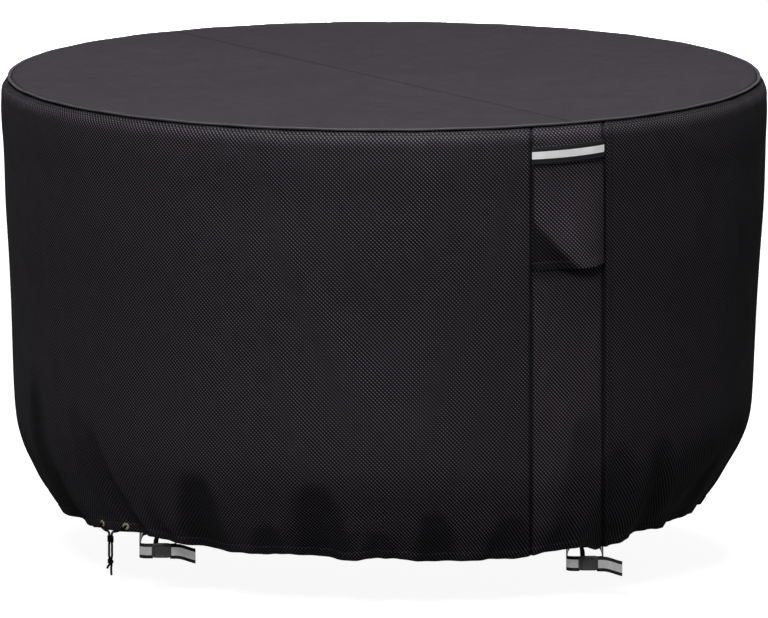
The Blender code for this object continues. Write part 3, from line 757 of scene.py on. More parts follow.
def cord_paint(colours):
    """Braided cord: two sets of strands that cross on a slant along its length."""
    p = Paint("black_cord", colours.cord, 0.68, sheen=0.02, specular=0.15)
    u, v = p.place()
    one = p.wave(p.maths("ADD", u, v), BRAID_PITCH)
    two = p.wave(p.maths("SUBTRACT", u, v), BRAID_PITCH)
    braid = p.maths("ADD", p.maths("MULTIPLY", p.maths("MAXIMUM", one, two), 0.4), 0.4)
    dark, light = shade(tuple(colours.cord), 0.5), shade(tuple(colours.cord), 2.0)
    p.link(p.mix(braid, dark, light), p.shader.inputs["Base Color"])
    p.bump(braid, 0.00035, 0.7)
    return p.material


def plastic_paint(colours):
    """Moulded nylon: a fine grain and faint flow marks."""
    p = Paint("buckle_plastic", colours.plastic, 0.42, specular=0.5)
    patches = p.span(p.noise(180.0, 4.0), 0.3, 0.7)
    p.link(
        p.mix(patches, shade(tuple(colours.plastic), 0.85), shade(tuple(colours.plastic), 1.2)),
        p.shader.inputs["Base Color"],
    )
    p.link(p.span(p.noise(700.0, 3.0), 0.3, 0.7, 0.36, 0.52), p.shader.inputs["Roughness"])
    p.bump(p.noise(2600.0, 2.0), 0.00005, 0.5)
    return p.material


def floor_paint(colours):
    """A pale matt floor with a trace of unevenness, which also glows a little so that it stays even."""
    p = Paint("studio_floor", colours.floor, 0.9, specular=0.1)
    tone = p.span(p.noise(1.3, 2.0), 0.3, 0.7)
    p.link(
        p.mix(tone, shade(tuple(colours.floor), 0.985), tuple(colours.floor)), p.shader.inputs["Base Color"]
    )
    p.shader.inputs["Emission Color"].default_value = (1.0, 1.0, 1.0, 1.0)
    p.shader.inputs["Emission Strength"].default_value = 0.9
    return p.material


# ---------------------------------------------------------------- pieces


def top_half(name, side, sizes):
    """One half of the top: rows parallel to the seam, each a chord of the disc, with the seam's dip, a lapped
    ridge beside it on the front half, soft wrinkles and a dip where the piping holds the edge."""
    across = np.array([math.sin(math.radians(SEAM_TURN)), math.cos(math.radians(SEAM_TURN)), 0.0])
    along = np.array([across[1], -across[0], 0.0])
    start = SEAM_OFFSET * side + GAP / 2
    near = start + np.array([0, 0.0008, 0.0016, 0.0026, 0.004, 0.006, 0.0085, 0.0115, 0.014, 0.017, 0.022])
    lift = np.linspace(math.asin((start + 0.030) / TOP_RADIUS), math.radians(89.2), 76)
    away = np.concatenate([near, TOP_RADIUS * np.sin(lift)])[:, None]
    half = np.sqrt(np.maximum(TOP_RADIUS**2 - away**2, 0))
    share = np.sin(np.linspace(-1, 1, 121) * math.pi / 2)[None, :]
    x = side * (away * across[0] + half * share * along[0])
    y = side * (away * across[1] + half * share * along[1])
    from_seam = away - start + 0 * share
    from_rim = TOP_RADIUS - np.hypot(x, y)
    z = np.full(x.shape, 0.0020)
    z = z - 0.0013 * np.exp(-((from_seam / 0.0024) ** 2))
    if side < 0:
        z = z + 0.0007 * ease(0.001, 0.003, from_seam) * (1 - ease(0.010, 0.013, from_seam))
        z = z - 0.0005 * np.exp(-(((from_seam - 0.0115) / 0.0014) ** 2))
    z = z - 0.0008 * np.exp(-((from_rim / 0.0035) ** 2))
    for x_a, y_a, x_b, y_b, wide, height in TOP_WRINKLES:
        length = math.hypot(x_b - x_a, y_b - y_a)
        run = ((x - x_a) * (x_b - x_a) + (y - y_a) * (y_b - y_a)) / length**2
        off = ((x - x_a) * (y_b - y_a) - (y - y_a) * (x_b - x_a)) / length
        z = z + height * ease(-0.1, 0.3, run) * (1 - ease(0.7, 1.1, run)) * np.exp(-((off / wide) ** 2))
    settle = np.sin(x * 9.0 + 1.0) * np.sin(y * 7.0 + 0.4) + 0.6 * np.sin(x * 17.0 - y * 13.0)
    z = z + 0.0006 * settle * ease(0.0, 0.05, from_rim) * ease(0.0, 0.03, from_seam)
    outside = np.stack([x, y, z], -1)
    inside = outside - np.array([0, 0, sizes.cloth])
    # Painted shade, kept as the seam_shadow values: along the seam and round the rim.
    seam_shadow = np.exp(-((from_seam / 0.0028) ** 2)) + 0.8 * np.exp(-((from_rim / 0.0030) ** 2))
    uv = np.stack([x, -y], -1)
    return thin_sheet(
        name, outside, inside, uv, {"seam_shadow": np.clip(seam_shadow, 0, 1), "from_seam": from_seam}
    )


def column_spread(bands):
    """Where a panel's columns lie between its two sides, from 0 to 1: bands of a length in metres and a
    count, which are scaled to fill the panel."""
    places = [0.0]
    for length, count in bands:
        places += list(places[-1] + length * np.arange(1, count + 1) / count)
    return np.array(places) / places[-1]


def row_spread():
    """Where the skirt's rows lie from the rim to the hem: close at the rim's seam and at the hem."""
    rim = ((0.004, 4), (0.010, 7), (0.030, 7))
    middle = ((0.110, 9), (0.290, 17), (0.226, 32))
    hem = ((0.028, 12), (0.022, 22))
    return column_spread((*rim, *middle, *hem))


def skirt_panel(name, first, last, shares, sizes):
    """A panel of the skirt: the hanging form with its relief between two sides, which are turns for an
    array of drops, and the cloth's thickness inwards."""
    u, v = shares[None, :], row_spread()[:, None]
    drop = np.full((v.shape[0], u.shape[1]), 0.4)
    for _ in range(5):
        turn = first(drop) + u * (last(drop) - first(drop))
        edge = hem_edge(turn, 1)
        drop = SKIRT_START + v * (edge - SKIRT_START)
    normal = outward(turn, drop)
    outside = skirt(turn, drop) + cloth_relief(turn, drop, edge)[..., None] * normal
    inside = outside - sizes.cloth * normal
    faces = (outside[:-1, :-1] + outside[1:, 1:]) / 2
    kept = np.ones(faces.shape[:2], bool)
    for which in EYELETS:
        kept &= np.linalg.norm(faces - axes_at(*eyelet_place(which))[0], axis=-1) > EYELET_HOLE
    across = np.radians(turn) * 0.632
    x = outside[..., 0]
    front = np.abs(turn_between(turn, 0.0)) < 90
    # Painted shade, kept as the seam_shadow values: under the piping at the rim, in the tucks of the strip's
    # seams and the back seam, in the gathers' hollows and shaded folds, under the hood's lower edge, and
    # along the hem's edge.
    dark = np.exp(-(((drop - SKIRT_START) / 0.0026) ** 2)) * 0.6
    for seam, wide, much in (
        (STRIP_LEFT_X, 0.0034, 1.3),
        (STRIP_RIGHT_X, 0.0038, 1.4),
        (STRIP_RIGHT_X + TOPSTITCH, 0.0022, 0.7),
    ):
        dark = np.maximum(dark, much * front * np.exp(-(((x - seam) / wide) ** 2)))
    dark = np.maximum(dark, 0.8 * np.exp(-((turn_between(turn, BACK_TURN) * 0.011 / 0.0028) ** 2)))
    dark = np.maximum(dark, 0.72 * fold_shade(turn, drop))
    share = (x - STRIP_LEFT_X) / (STRIP_RIGHT_X - STRIP_LEFT_X)
    below = drop - HOOD_LEFT_EDGE - (HOOD_RIGHT_EDGE - HOOD_LEFT_EDGE) * share
    under = front * ease(0.0, 0.02, share) * (1 - ease(0.78, 0.95, share))
    dark = np.maximum(dark, under * np.exp(-(((below - 0.0030) / 0.0046) ** 2)))
    dark = np.maximum(dark, 0.55 * np.exp(-(((edge - drop) / 0.0060) ** 2)))
    extra = {"seam_shadow": np.clip(dark, 0, 1), "above_hem": edge - drop, "below_rim": drop}
    return thin_sheet(name, outside, inside, np.stack([across, drop], -1), extra, kept)


def on_strip(across, drop, stands):
    """Points that stand off the strip: across is 0 at its left seam and 1 at its right."""
    x = STRIP_LEFT_X + 2 * GAP + across * (STRIP_RIGHT_X - STRIP_LEFT_X - 4 * GAP)
    turn = turn_at(x, drop)
    return skirt(turn, drop) + np.asarray(stands)[..., None] * outward(turn, drop)


def handle_band():
    """Webbing across the strip that stands off it between its sewn ends, with soft rounded edges."""
    across = np.linspace(0, 1, 61)[None, :]
    share = np.array([0, 0.03, 0.07, 0.2, 0.35, 0.5, 0.65, 0.8, 0.93, 0.97, 1])[:, None]
    drop = BAND_TOP + BAND_HEIGHT * share + BAND_SLOPE * (1 - across)
    across = across + 0 * drop
    stands = GAP + BAND_STANDS * np.sin(math.pi * across) ** 0.7
    round_off = 0.0006 * (np.exp(-share / 0.02) + np.exp(-(1 - share) / 0.02))
    outside = on_strip(across, drop, stands + BAND_THICK - round_off)
    inside = on_strip(across, drop, stands + round_off * 0.6)
    uv = np.stack(np.broadcast_arrays(across * 0.136, BAND_HEIGHT * (1 - share)), -1)
    return thin_sheet("handle_band_webbing", outside, inside, uv)


def past_crease(across, down):
    """How far below and to the left of the hood's slanting crease a place is."""
    return (down - 0.47) - 0.85 * across


def hood_stands(across, down):
    """How far the hood stands off: held at its top and sides, out to a peak at its lower edge, with its
    lower left corner folded back in behind a slanting crease."""
    sides = np.clip(across / 0.16, 0, 1) ** 0.8 * np.clip((1 - across) / 0.20, 0, 1) ** 0.8
    swell = 0.45 + 0.55 * np.exp(-(((across - HOOD_PEAK) / 0.30) ** 2))
    folded = 1 - 0.86 * ease(0.0, 0.26, past_crease(across, down))
    return HOOD_CLEAR + HOOD_STANDS * down**1.25 * sides * swell * folded


def vent_hood():
    """The flap under the handle, from its sewn top to its free hemmed lower edge."""
    across = np.linspace(0, 1, 81)[None, :]
    down = np.linspace(0, 1, 101)[:, None]
    end = HOOD_LEFT_EDGE + (HOOD_RIGHT_EDGE - HOOD_LEFT_EDGE) * across
    drop = HOOD_TOP + down * (end - HOOD_TOP)
    across, down = np.broadcast_arrays(across, down)
    stands = hood_stands(across, down)
    soft = 0.0007 * np.sin(across * 9.0 + down * 5.0) * down * np.sin(math.pi * across)
    hem_step = 0.0005 * ease(0.925, 0.945, down) - 0.0004 * np.exp(-(((down - 0.925) / 0.010) ** 2))
    outside = on_strip(across, drop, stands + HOOD_THICK + soft + hem_step)
    inside = on_strip(across, drop, stands + soft)
    # Painted shade, kept as the seam_shadow values: along the sewn sides and top, and in the recess behind
    # the slanting crease.
    sides = np.exp(-((across / 0.022) ** 2)) + np.exp(-(((1 - across) / 0.022) ** 2))
    recess = 0.88 * ease(0.0, 0.10, past_crease(across, down))
    dark = np.clip(sides + np.exp(-((down / 0.03) ** 2)) + recess, 0, 1)
    x = STRIP_LEFT_X + across * (STRIP_RIGHT_X - STRIP_LEFT_X)
    uv = np.stack([np.arcsin(x / 0.632) * 0.632, drop], -1)
    return thin_sheet("vent_hood_flap", outside, inside, uv, {"seam_shadow": dark, "above_hem": end - drop})


def rim_piping():
    """Corded piping: an oval carried round the rim, with the slight waver of a sewn cord."""
    turn = np.radians(np.arange(540) * 360.0 / 540)[:, None]
    side = np.radians(np.arange(16) * 22.5)[None, :]
    waver = 0.0004 * np.sin(turn * 23) * np.sin(turn * 5 + 1)
    radius = WELT_RADIUS + WELT_WIDE / 2 * np.cos(side) + waver
    height = 0.0004 + WELT_TALL / 2 * np.sin(side) + 0.0003 * np.sin(turn * 31 + 2) + 0 * radius
    points = np.stack([radius * np.sin(turn), -radius * np.cos(turn), height], -1)
    return carried(
        "rim_piping", points, True, around=side[0] * 0.0024, along=np.arange(540) * 2 * math.pi * 0.6228 / 540
    )


def axes_at(turn, drop):
    """A place on the skirt with its outward, sideways and upward unit vectors."""
    out = outward(turn, drop)
    side = np.cross((0, 0, 1), out)
    side = side / np.linalg.norm(side)
    return skirt(turn, drop), out, side, np.cross(out, side)


def eyelet_place(which):
    """The turn and drop of an eyelet's centre."""
    turn, above = EYELETS[which]
    return turn, float(hem_edge(turn, 1)) - above


def eyelet_ring(which):
    """A brass ring: its rolled section carried round the eyelet's axis, through the cloth."""
    middle, out, side, up = axes_at(*eyelet_place(which))
    roll = np.radians(np.linspace(0, 180, 9))
    face_radius = (EYELET_RADIUS + EYELET_BORE) / 2
    half = (EYELET_RADIUS - EYELET_BORE) / 2
    front = [(face_radius + half * math.cos(a), 0.0007 + 0.0009 * math.sin(a)) for a in roll]
    back = [(face_radius - half * math.cos(a), -0.0027 - 0.0008 * math.sin(a)) for a in roll]
    section = np.array(front + back)
    angle = np.radians(np.arange(48) * 7.5)[:, None, None]
    radius, away = section[None, :, 0:1], section[None, :, 1:2]
    points = middle + radius * (np.cos(angle) * side + np.sin(angle) * up) + away * out
    return carried(f"brass_eyelet_{which}", points, True, along=np.arange(48) * 0.0007)


def evenly(points, spacing):
    """A smooth curve through the points, read at even steps."""
    points = np.array(points, float)
    along = np.concatenate([[0], np.cumsum(np.linalg.norm(np.diff(points, axis=0), axis=1))])
    fine = np.linspace(0, along[-1], 400)
    table = np.column_stack([along, points])
    curve = np.stack([smooth_curve(table, k, fine) for k in (1, 2, 3)], -1)
    length = np.concatenate([[0], np.cumsum(np.linalg.norm(np.diff(curve, axis=0), axis=1))])
    at = np.linspace(0, length[-1], int(round(length[-1] / spacing)) + 1)
    return np.stack([np.interp(at, length, curve[:, k]) for k in range(3)], -1)


def cord_middle():
    """Where the tied cord hangs: a place just outside the hem between the eyelets, and its axes there."""
    turn = (EYELETS["left"][0] + EYELETS["right"][0]) / 2 + 0.6
    at, out, _, _ = axes_at(turn, float(hem_edge(turn, 1)) - 0.004)
    level = np.array([out[0], out[1], 0.0]) / math.hypot(out[0], out[1])
    return at + 0.0085 * level, np.array([0.0, -1.0, 0.0]), np.array([1.0, 0.0, 0.0])


def cord_route(which):
    """The route of one end of the drawcord: out of its eyelet, over to the upper knot, down through both
    knots, and on to its own tail. Offsets are across, outwards and drop."""
    place, out, side, up = axes_at(*eyelet_place(which))
    middle, level, across = cord_middle()
    hand = -1 if which == "left" else 1
    reach = CORD / 2 + 0.0002
    upper, lower = KNOTS["upper"][0], KNOTS["lower"][0]
    turned = math.radians(KNOTS["lower"][2])
    low_across = hand * reach * math.cos(turned)
    low_out = hand * reach * math.sin(turned)
    rows = [
        (hand * (reach + 0.0002), 0.0, upper - 0.0088),
        (hand * reach, 0.0, upper - 0.0067),
        (hand * reach, 0.0, upper),
        (hand * reach, 0.0, upper + 0.0067),
        (hand * (reach + 0.0003), 0.0, upper + 0.0095),
        (hand * (reach + 0.0003), 0.0, upper + 0.0140),
        (hand * (reach + 0.0003), 0.0, upper + 0.0210),
        (hand * (reach + 0.0003), low_out * 0.4, upper + 0.0285),
        (low_across, low_out, lower - 0.0045),
        (low_across, low_out, lower + 0.0050),
    ]
    if which == "left":
        rows += [(-0.0042, low_out * 1.1, lower + 0.0090), (-0.0058, low_out * 1.2, lower + 0.0125)]
    else:
        rows += [(0.0010, low_out, lower + 0.0130), (0.0016, low_out, lower + 0.0235)]
    first = [
        place - 0.0050 * out,
        place,
        place + 0.0040 * out - 0.0004 * up,
        place + 0.0062 * out - 0.0030 * up - 0.0030 * hand * across,
    ]
    rest = [np.array([*(middle + a * across + b * level)[:2], -drop]) for a, b, drop in rows]
    joined = 0.5 * (first[-1] + rest[0]) + 0.0006 * hand * across
    return evenly([*first, joined, *rest], CORD_STEP)


def tube(name, route, radius, sides=14):
    """A round tube along a route: rings whose frame is carried on without twist, the last ones drawn in so
    that its sealed ends are rounded."""
    tangent = np.gradient(route, axis=0)
    tangent = tangent / np.linalg.norm(tangent, axis=1, keepdims=True)
    side = np.cross(tangent[0], (0.3, 0.2, 0.9))
    frames = []
    for t in tangent:
        side = side - t * (side @ t)
        side = side / np.linalg.norm(side)
        frames.append(side)
    side = np.array(frames)
    other = np.cross(tangent, side)
    angle = np.radians(np.arange(sides) * 360.0 / sides)
    width = np.full(len(route), radius)
    width[[0, -1]] = radius * 0.72
    rings = np.cos(angle)[None, :, None] * side[:, None] + np.sin(angle)[None, :, None] * other[:, None]
    points = route[:, None] + width[:, None, None] * rings
    return carried(name, points, False, around=angle * radius)


def knot_wraps(which):
    """A knot: turns of the cord wound round the two strands, one tube on a flattened helix."""
    drop, tall, turned = KNOTS[which]
    middle, level, across = cord_middle()
    c, s = math.cos(math.radians(turned)), math.sin(math.radians(turned))
    long_way = c * across + s * level
    short_way = -s * across + c * level
    turns = 4.0 if which == "upper" else 2.4
    thick = 0.00150
    share = np.linspace(0, 1, int(turns * 26))
    angle = share * turns * 2 * math.pi + 0.6
    squeeze = (np.abs(np.cos(angle)) ** 3 + np.abs(np.sin(angle)) ** 3) ** (-1 / 3)
    wide = CORD * 0.80 + thick * 0.62
    thin = CORD * 0.32 + thick * 0.62
    flat = squeeze[:, None] * (
        wide * np.cos(angle)[:, None] * long_way + thin * np.sin(angle)[:, None] * short_way
    )
    slope = 0.0006 * np.sin(angle)
    height = -(drop - tall / 2 + thick) - share * (tall - 2 * thick) + slope
    points = flat + np.array([middle[0], middle[1], 0.0])
    points[:, 2] = height
    return tube(f"drawcord_knot_{which}", points, thick, 10)


def loop_plan(size):
    """The loop's middle line seen from above, as x and depth: from the buckle's left side round the left
    corner, along the back, and round the right corners to the buckle's right side."""
    half = WEB_THICK / 2
    left, right = size["left"] + half, size["right"] - half
    back = LOOP_DEPTH - half
    r = LOOP_CORNER
    start = size["buckle"] + TUCKED
    end = size["buckle"] + BUCKLE_LONG - TUCKED
    path = [(start, 0.0), ((start + left + r) / 2, 0.0)]
    for cx, cy, first in ((left + r, r, 270), (left + r, back - r, 180), (right - r, back - r, 90)):
        for k in range(9):
            angle = math.radians(first - 11.25 * k)
            path.append((cx + r * math.cos(angle), cy + r * math.sin(angle)))
    tight = min(right - end - 0.0002, r)
    for k in range(9):
        angle = math.radians(-11.25 * k)
        path.append((right - tight + tight * math.cos(angle), tight + tight * math.sin(angle)))
    path.append((end, 0.0))
    return np.array(path)


def web_band(name, line, size, depth_at):
    """Webbing on edge along a line of x and depth, with the drop of its middle at each point: a flat
    section with rounded selvedges."""
    tangent = np.gradient(line, axis=0)
    tangent = tangent / np.linalg.norm(tangent, axis=1, keepdims=True)
    side = np.stack([-tangent[:, 1], tangent[:, 0]], -1)
    half, thick = WEB / 2, WEB_THICK / 2
    rise = np.array([-1, -0.985, -0.94, -0.5, 0, 0.5, 0.94, 0.985, 1]) * half
    fat = np.array([0.30, 0.75, 1, 1, 1, 1, 1, 0.75, 0.30]) * thick
    rise = np.concatenate([rise, rise[::-1]])
    fat = np.concatenate([fat, -fat[::-1]])
    x = line[:, 0, None] + side[:, 0, None] * fat
    y = line[:, 1, None] + side[:, 1, None] * fat - size["front"]
    z = -depth_at[:, None] + rise[None, :]
    run = np.concatenate([[0], np.cumsum(np.linalg.norm(np.diff(line, axis=0), axis=1))])
    return carried(name, np.stack([x, y, z], -1), False, around=rise + half, along=run, sharp=70)


def buckle_block(which, size):
    """A flat moulded buckle: a rounded outline carried through its thickness, with a sunk field inside a
    raised rim on its face."""
    long, tall, thick = BUCKLE_LONG / 2, BUCKLE_TALL / 2, BUCKLE_THICK / 2
    middle = np.array([size["buckle"] + long, -0.0016 - size["front"], -size["drop"] + BUCKLE_UP])
    angle = np.radians(np.arange(72) * 5.0 + 2.5)
    power = 7.0
    squeeze = (np.abs(np.cos(angle)) ** power + np.abs(np.sin(angle)) ** power) ** (-1 / power)
    layers = (
        (-0.60, 0.30),
        (-0.60, 0.66),
        (-0.64, 0.70),
        (-0.95, 0.74),
        (-1.00, 0.80),
        (-1.00, 0.90),
        (-0.90, 0.975),
        (-0.70, 1.0),
        (0.70, 1.0),
        (0.92, 0.975),
        (1.00, 0.92),
        (1.00, 0.30),
    )
    rings = []
    for depth, inset in layers:
        x = middle[0] + long * squeeze * np.cos(angle) * inset
        z = middle[2] + tall * squeeze * np.sin(angle) * inset
        rings.append(np.stack([x, np.full_like(x, middle[1] + thick * depth), z], -1))
    return carried(f"strap_buckle_{which}", np.array(rings), False, sharp=35)


def strap_tab(which, size):
    """The narrow tab from the inside of the hem down behind the buckle: a short strip whose upper part lies
    along the cloth and whose lower part lies along the buckle."""
    tab_x = size["buckle"] + 0.0070
    tab_drop = float(hem_edge(turn_at(tab_x, np.array(0.70)), 1))
    rows = []
    for up in (TAB_UP, TAB_UP * 0.55, TAB_UP * 0.12):
        turn = float(turn_at(tab_x, np.array(tab_drop - up)))
        place, out, side, _ = axes_at(turn, tab_drop - up)
        rows.append((place - 0.0032 * out, side))
    behind = -0.0016 - size["front"] + BUCKLE_THICK / 2 + 2 * GAP
    for past in (0.0, 0.45, 1.0):
        drop = size["drop"] - WEB / 2 + past * 0.018
        rows.append((np.array([tab_x, behind, -drop]), np.array([1.0, 0.0, 0.0])))
    middles = np.array([row[0] for row in rows])
    sides = np.array([row[1] for row in rows])
    along = np.concatenate([[0], np.cumsum(np.linalg.norm(np.diff(middles, axis=0), axis=1))])
    fine = np.linspace(0, along[-1], 41)
    middles = np.stack([smooth_curve(np.column_stack([along, middles]), k, fine) for k in (1, 2, 3)], -1)
    sides = np.stack([np.interp(fine, along, sides[:, k]) for k in range(3)], -1)
    sides = sides / np.linalg.norm(sides, axis=1, keepdims=True)
    down = np.gradient(middles, axis=0)
    face = np.cross(down, sides)
    face = face / np.linalg.norm(face, axis=1, keepdims=True)
    share = np.linspace(-0.5, 0.5, 9)
    grid = middles[:, None] + share[None, :, None] * TAB_WIDE * sides[:, None]
    uv = np.stack(np.broadcast_arrays(fine[:, None], 0.0125 + 0 * share[None, :]), -1)
    uv = uv + np.stack(np.broadcast_arrays(0 * fine[:, None], -0.012 + share[None, :] * 0.004), -1)
    return thin_sheet(f"strap_tab_{which}", grid, grid - TAB_THICK * face[:, None], uv)


# ---------------------------------------------------------------- settings


def colour_property(name, description, default):
    """A colour that the sidebar shows."""
    return FloatVectorProperty(
        name=name, description=description, default=default, size=3, min=0.0, max=1.0, subtype="COLOR"
    )


class CoverSizes(bpy.types.PropertyGroup):
    """Sizes of the cover's cloth."""

    cloth: FloatProperty(
        name="Cloth",
        description="Thickness of the coated cloth",
        default=0.0020,
        min=0.001,
        max=0.003,
        unit="LENGTH",
    )
    weave: FloatProperty(
        name="Weave",
        description="Pitch of the cloth's diagonal rib along its width",
        default=0.0066,
        min=0.001,
        max=0.02,
        unit="LENGTH",
    )


class CoverColours(bpy.types.PropertyGroup):
    """Colours of the cover's materials and of the stage."""

    cloth: colour_property("Cloth", "Coated cloth", (0.0550, 0.0475, 0.0585))
    piping: colour_property("Piping", "Cloth of the rim's piping", (0.085, 0.081, 0.088))
    webbing: colour_property("Webbing", "Handle band and straps", (0.022, 0.022, 0.025))
    stripe: colour_property("Stripe", "Stripe woven into the webbing", (0.93, 0.93, 0.94))
    brass: colour_property("Brass", "Eyelets", (0.98, 0.90, 0.66))
    cord: colour_property("Cord", "Drawcord", (0.0050, 0.0045, 0.0050))
    plastic: colour_property("Plastic", "Buckles", (0.125, 0.125, 0.130))
    floor: colour_property("Floor", "Studio floor", (0.86, 0.86, 0.86))


def settings():
    """The sizes and colours as they stand in the sidebar."""
    return bpy.context.scene.cover_sizes, bpy.context.scene.cover_colours


# ---------------------------------------------------------------- operators


class COVER_OT_stage(bpy.types.Operator):
    """Makes the floor, the soft lights and the camera"""

    bl_idname = "cover.stage"
    bl_label = "Stage"

    def execute(self, context):
        _, colours = settings()
        corners = np.array([(-1.0, -1.0), (1.0, -1.0), (1.0, 1.0), (-1.0, 1.0)]) * FLOOR_REACH
        points = np.column_stack([corners, np.full(4, -FLOOR_DROP)])
        mesh = bpy.data.meshes.new("studio_floor")
        mesh.from_pydata(points.tolist(), [], [(0, 1, 2, 3)])
        floor = bpy.data.objects.new("studio_floor", mesh)
        mesh.materials.append(floor_paint(colours))
        context.scene.collection.objects.link(floor)
        floor.visible_diffuse = False
        floor.visible_glossy = False

        for name, place, aim, size, power in LIGHTS:
            lamp = bpy.data.lights.new(name, "AREA")
            lamp.shape = "DISK"
            lamp.size = size
            lamp.energy = power
            light = bpy.data.objects.new(name, lamp)
            context.scene.collection.objects.link(light)
            light.location = place
            away = np.array(place) - np.array(aim)
            flat = math.hypot(away[0], away[1])
            light.rotation_euler = (math.atan2(flat, away[2]), 0.0, math.atan2(away[0], -away[1]))

        world = bpy.data.worlds.new("studio")
        context.scene.world = world
        world.use_nodes = True
        tree = world.node_tree
        base = tree.nodes["Background"]
        base.inputs["Color"].default_value = (1.0, 1.0, 1.0, 1.0)
        base.inputs["Strength"].default_value = 0.04
        behind = tree.nodes.new("ShaderNodeBackground")
        behind.inputs["Color"].default_value = (1.0, 1.0, 1.0, 1.0)
        behind.inputs["Strength"].default_value = 1.0
        seen = tree.nodes.new("ShaderNodeLightPath")
        either = tree.nodes.new("ShaderNodeMixShader")
        tree.links.new(seen.outputs["Is Camera Ray"], either.inputs[0])
        tree.links.new(base.outputs[0], either.inputs[1])
        tree.links.new(behind.outputs[0], either.inputs[2])
        tree.links.new(either.outputs[0], tree.nodes["World Output"].inputs["Surface"])

        lens = bpy.data.cameras.new("camera")
        lens.lens = VIEW_LENS
        lens.sensor_width = 36.0
        lens.clip_start = 1.0
        lens.clip_end = 600.0
        camera = bpy.data.objects.new("camera", lens)
        context.scene.collection.objects.link(camera)
        slope = math.radians(VIEW_SLOPE)
        camera.location = (0.0, -VIEW_AWAY * math.cos(slope), -VIEW_DROP + VIEW_AWAY * math.sin(slope))
        camera.rotation_euler = (math.pi / 2 - slope, 0.0, 0.0)
        context.scene.camera = camera
        context.scene.view_settings.view_transform = "Standard"
        return {"FINISHED"}


class COVER_OT_top(bpy.types.Operator):
    """Makes the top's two panels and the piping round the rim"""

    bl_idname = "cover.top"
    bl_label = "Top and piping"

    def execute(self, context):
        sizes, colours = settings()
        rows = (("from_seam", TOPSTITCH + 0.0005, 0.0006),)
        paint = cloth_paint("top_cloth", colours, sizes, rows, crisp=TOP_CRISP)
        for node, name, side in (
            ("top_back_right", "top_panel_back_right", 1),
            ("top_front_left", "top_panel_front_left", -1),
        ):
            piece = put(top_half(name, side, sizes), node, paint)
        put(rim_piping(), "rim_welt", piping_paint(colours))
        return {"FINISHED"}


class COVER_OT_skirt(bpy.types.Operator):
    """Makes the skirt's two panels and the strip between them"""

    bl_idname = "cover.skirt"
    bl_label = "Skirt"

    def execute(self, context):
        sizes, colours = settings()
        rows = (("above_hem", 0.0140, 0.0007), ("below_rim", 0.0100, 0.0007))
        side_rows = (*rows, ("upright", STRIP_RIGHT_X + TOPSTITCH, 0.0007))
        part = math.degrees(GAP / 0.62)
        left_seam = seam_turns(STRIP_LEFT_X)
        right_seam = seam_turns(STRIP_RIGHT_X)
        fine = ((0.012, 10), (0.012, 6))
        eyelets = ((0.027, 30), (0.042, 16), (0.027, 30))
        left = column_spread(((0.020, 5), (0.70, 76), (0.329, 70), *eyelets, (0.802, 150), *fine[::-1]))
        right = column_spread((*fine, (0.60, 160), (1.26, 210), (0.020, 5)))
        piece = skirt_panel("skirt_panel_left", lambda d: BACK_TURN - 360 + 0 * d, left_seam, left, sizes)
        put(piece, "skirt_left", cloth_paint("skirt_cloth", colours, sizes, side_rows))
        piece = skirt_panel("skirt_panel_right", right_seam, lambda d: BACK_TURN - part + 0 * d, right, sizes)
        # A darker copy of the cloth for the right-hand panel: painted shade.
        right_paint = cloth_paint("skirt_cloth_right_painted_shade", colours, sizes, side_rows, RIGHT_PAINTED_SHADE)
        put(piece, "skirt_right", right_paint)
        middle = column_spread(((0.012, 10), (0.11, 40), (0.012, 10)))
        piece = skirt_panel(
            "strip_panel_cloth", lambda d: left_seam(d) + part, lambda d: right_seam(d) - part, middle, sizes
        )
        # A brighter copy of the cloth for the strip: painted light.
        strip_paint = cloth_paint("strip_cloth_painted_light", colours, sizes, rows, STRIP_PAINTED_LIGHT)
        put(piece, "strip_panel", strip_paint)
        return {"FINISHED"}


class COVER_OT_vent(bpy.types.Operator):
    """Makes the handle band and the vent hood"""

    bl_idname = "cover.vent"
    bl_label = "Handle and vent"

    def execute(self, context):
        sizes, colours = settings()
        band_paint = webbing_paint("band_webbing", colours, (0.0090, 0.0205), (0.0030, 0.0262), 0.90)
        put(handle_band(), "handle_band", band_paint)
        # A brighter copy of the cloth for the hood: painted light.
        hood_paint = cloth_paint("hood_cloth_painted_light", colours, sizes, (("above_hem", 0.0125, 0.0007),), STRIP_PAINTED_LIGHT)
        piece = put(vent_hood(), "vent_hood", hood_paint)
        return {"FINISHED"}


class COVER_OT_drawcord(bpy.types.Operator):
    """Makes the eyelets and the tied drawcord"""

    bl_idname = "cover.drawcord"
    bl_label = "Eyelets and drawcord"

    def execute(self, context):
        _, colours = settings()
        brass, black = brass_paint(colours), cord_paint(colours)
        for which in EYELETS:
            put(eyelet_ring(which), f"eyelet_{which}", brass)
        knots = [put(knot_wraps(which), f"cord_knot_{which}", black) for which in KNOTS]
        for which in EYELETS:
            route = cord_route(which)
            piece = put(tube(f"drawcord_{which}", route, CORD / 2), f"draw_cord_{which}", black)
        return {"FINISHED"}


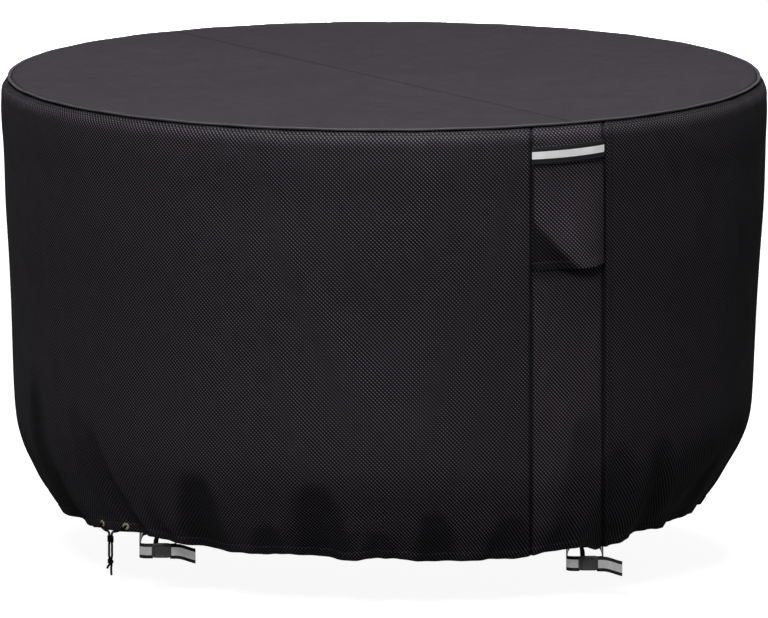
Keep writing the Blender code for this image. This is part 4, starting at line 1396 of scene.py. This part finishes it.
class COVER_OT_straps(bpy.types.Operator):
    """Makes the two leg straps with their tails, buckles and tabs"""

    bl_idname = "cover.straps"
    bl_label = "Leg straps"

    def execute(self, context):
        _, colours = settings()
        webbing = webbing_paint("strap_webbing", colours, (0.0058, 0.0192), (0.0028, 0.0222), 0.55)
        plastic = plastic_paint(colours)
        for which, size in STRAPS.items():
            plan = loop_plan(size)
            rise = LOOP_RISE * ease(0.60, 1.0, plan[:, 1] / LOOP_DEPTH)
            loop = web_band(f"strap_webbing_{which}", plan, size, size["drop"] - rise)
            put(loop, f"strap_{which}_loop", webbing)
            start = size["buckle"] + BUCKLE_LONG - TUCKED
            share = np.linspace(0, 1, 33)
            line = np.stack([start + TAIL_LONG * share, -0.0032 - 0.0010 * np.sin(2.5 * share)], -1)
            droop = size["drop"] + TAIL_DROOP * ease(0.25, 1.15, share)
            tail = web_band(f"strap_tail_webbing_{which}", line, size, droop)
            put(tail, f"strap_{which}_tail", webbing)
            put(buckle_block(which, size), f"strap_{which}_buckle", plastic)
            put(strap_tab(which, size), f"strap_{which}_tab", webbing)
        return {"FINISHED"}


class COVER_PT_panel(bpy.types.Panel):
    """Lists the cover's pieces in the sidebar"""

    bl_label = "Furniture cover"
    bl_idname = "COVER_PT_panel"
    bl_space_type = "VIEW_3D"
    bl_region_type = "UI"
    bl_category = "Cover"

    def draw(self, context):
        for group in (context.scene.cover_sizes, context.scene.cover_colours):
            for key in group.__annotations__:
                self.layout.prop(group, key)
        for operator in OPERATORS:
            self.layout.operator(operator.bl_idname)


OPERATORS = (
    COVER_OT_stage,
    COVER_OT_top,
    COVER_OT_skirt,
    COVER_OT_vent,
    COVER_OT_drawcord,
    COVER_OT_straps,
)
CLASSES = (CoverSizes, CoverColours, *OPERATORS, COVER_PT_panel)


def register():
    for cls in CLASSES:
        bpy.utils.register_class(cls)
    bpy.types.Scene.cover_sizes = PointerProperty(type=CoverSizes)
    bpy.types.Scene.cover_colours = PointerProperty(type=CoverColours)


def unregister():
    del bpy.types.Scene.cover_colours
    del bpy.types.Scene.cover_sizes
    for cls in reversed(CLASSES):
        bpy.utils.unregister_class(cls)


def main():
    """Registers the add-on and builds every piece."""
    register()
    bpy.ops.cover.stage()
    bpy.ops.cover.top()
    bpy.ops.cover.skirt()
    bpy.ops.cover.vent()
    bpy.ops.cover.drawcord()
    bpy.ops.cover.straps()


if __name__ == "__main__":
    main()
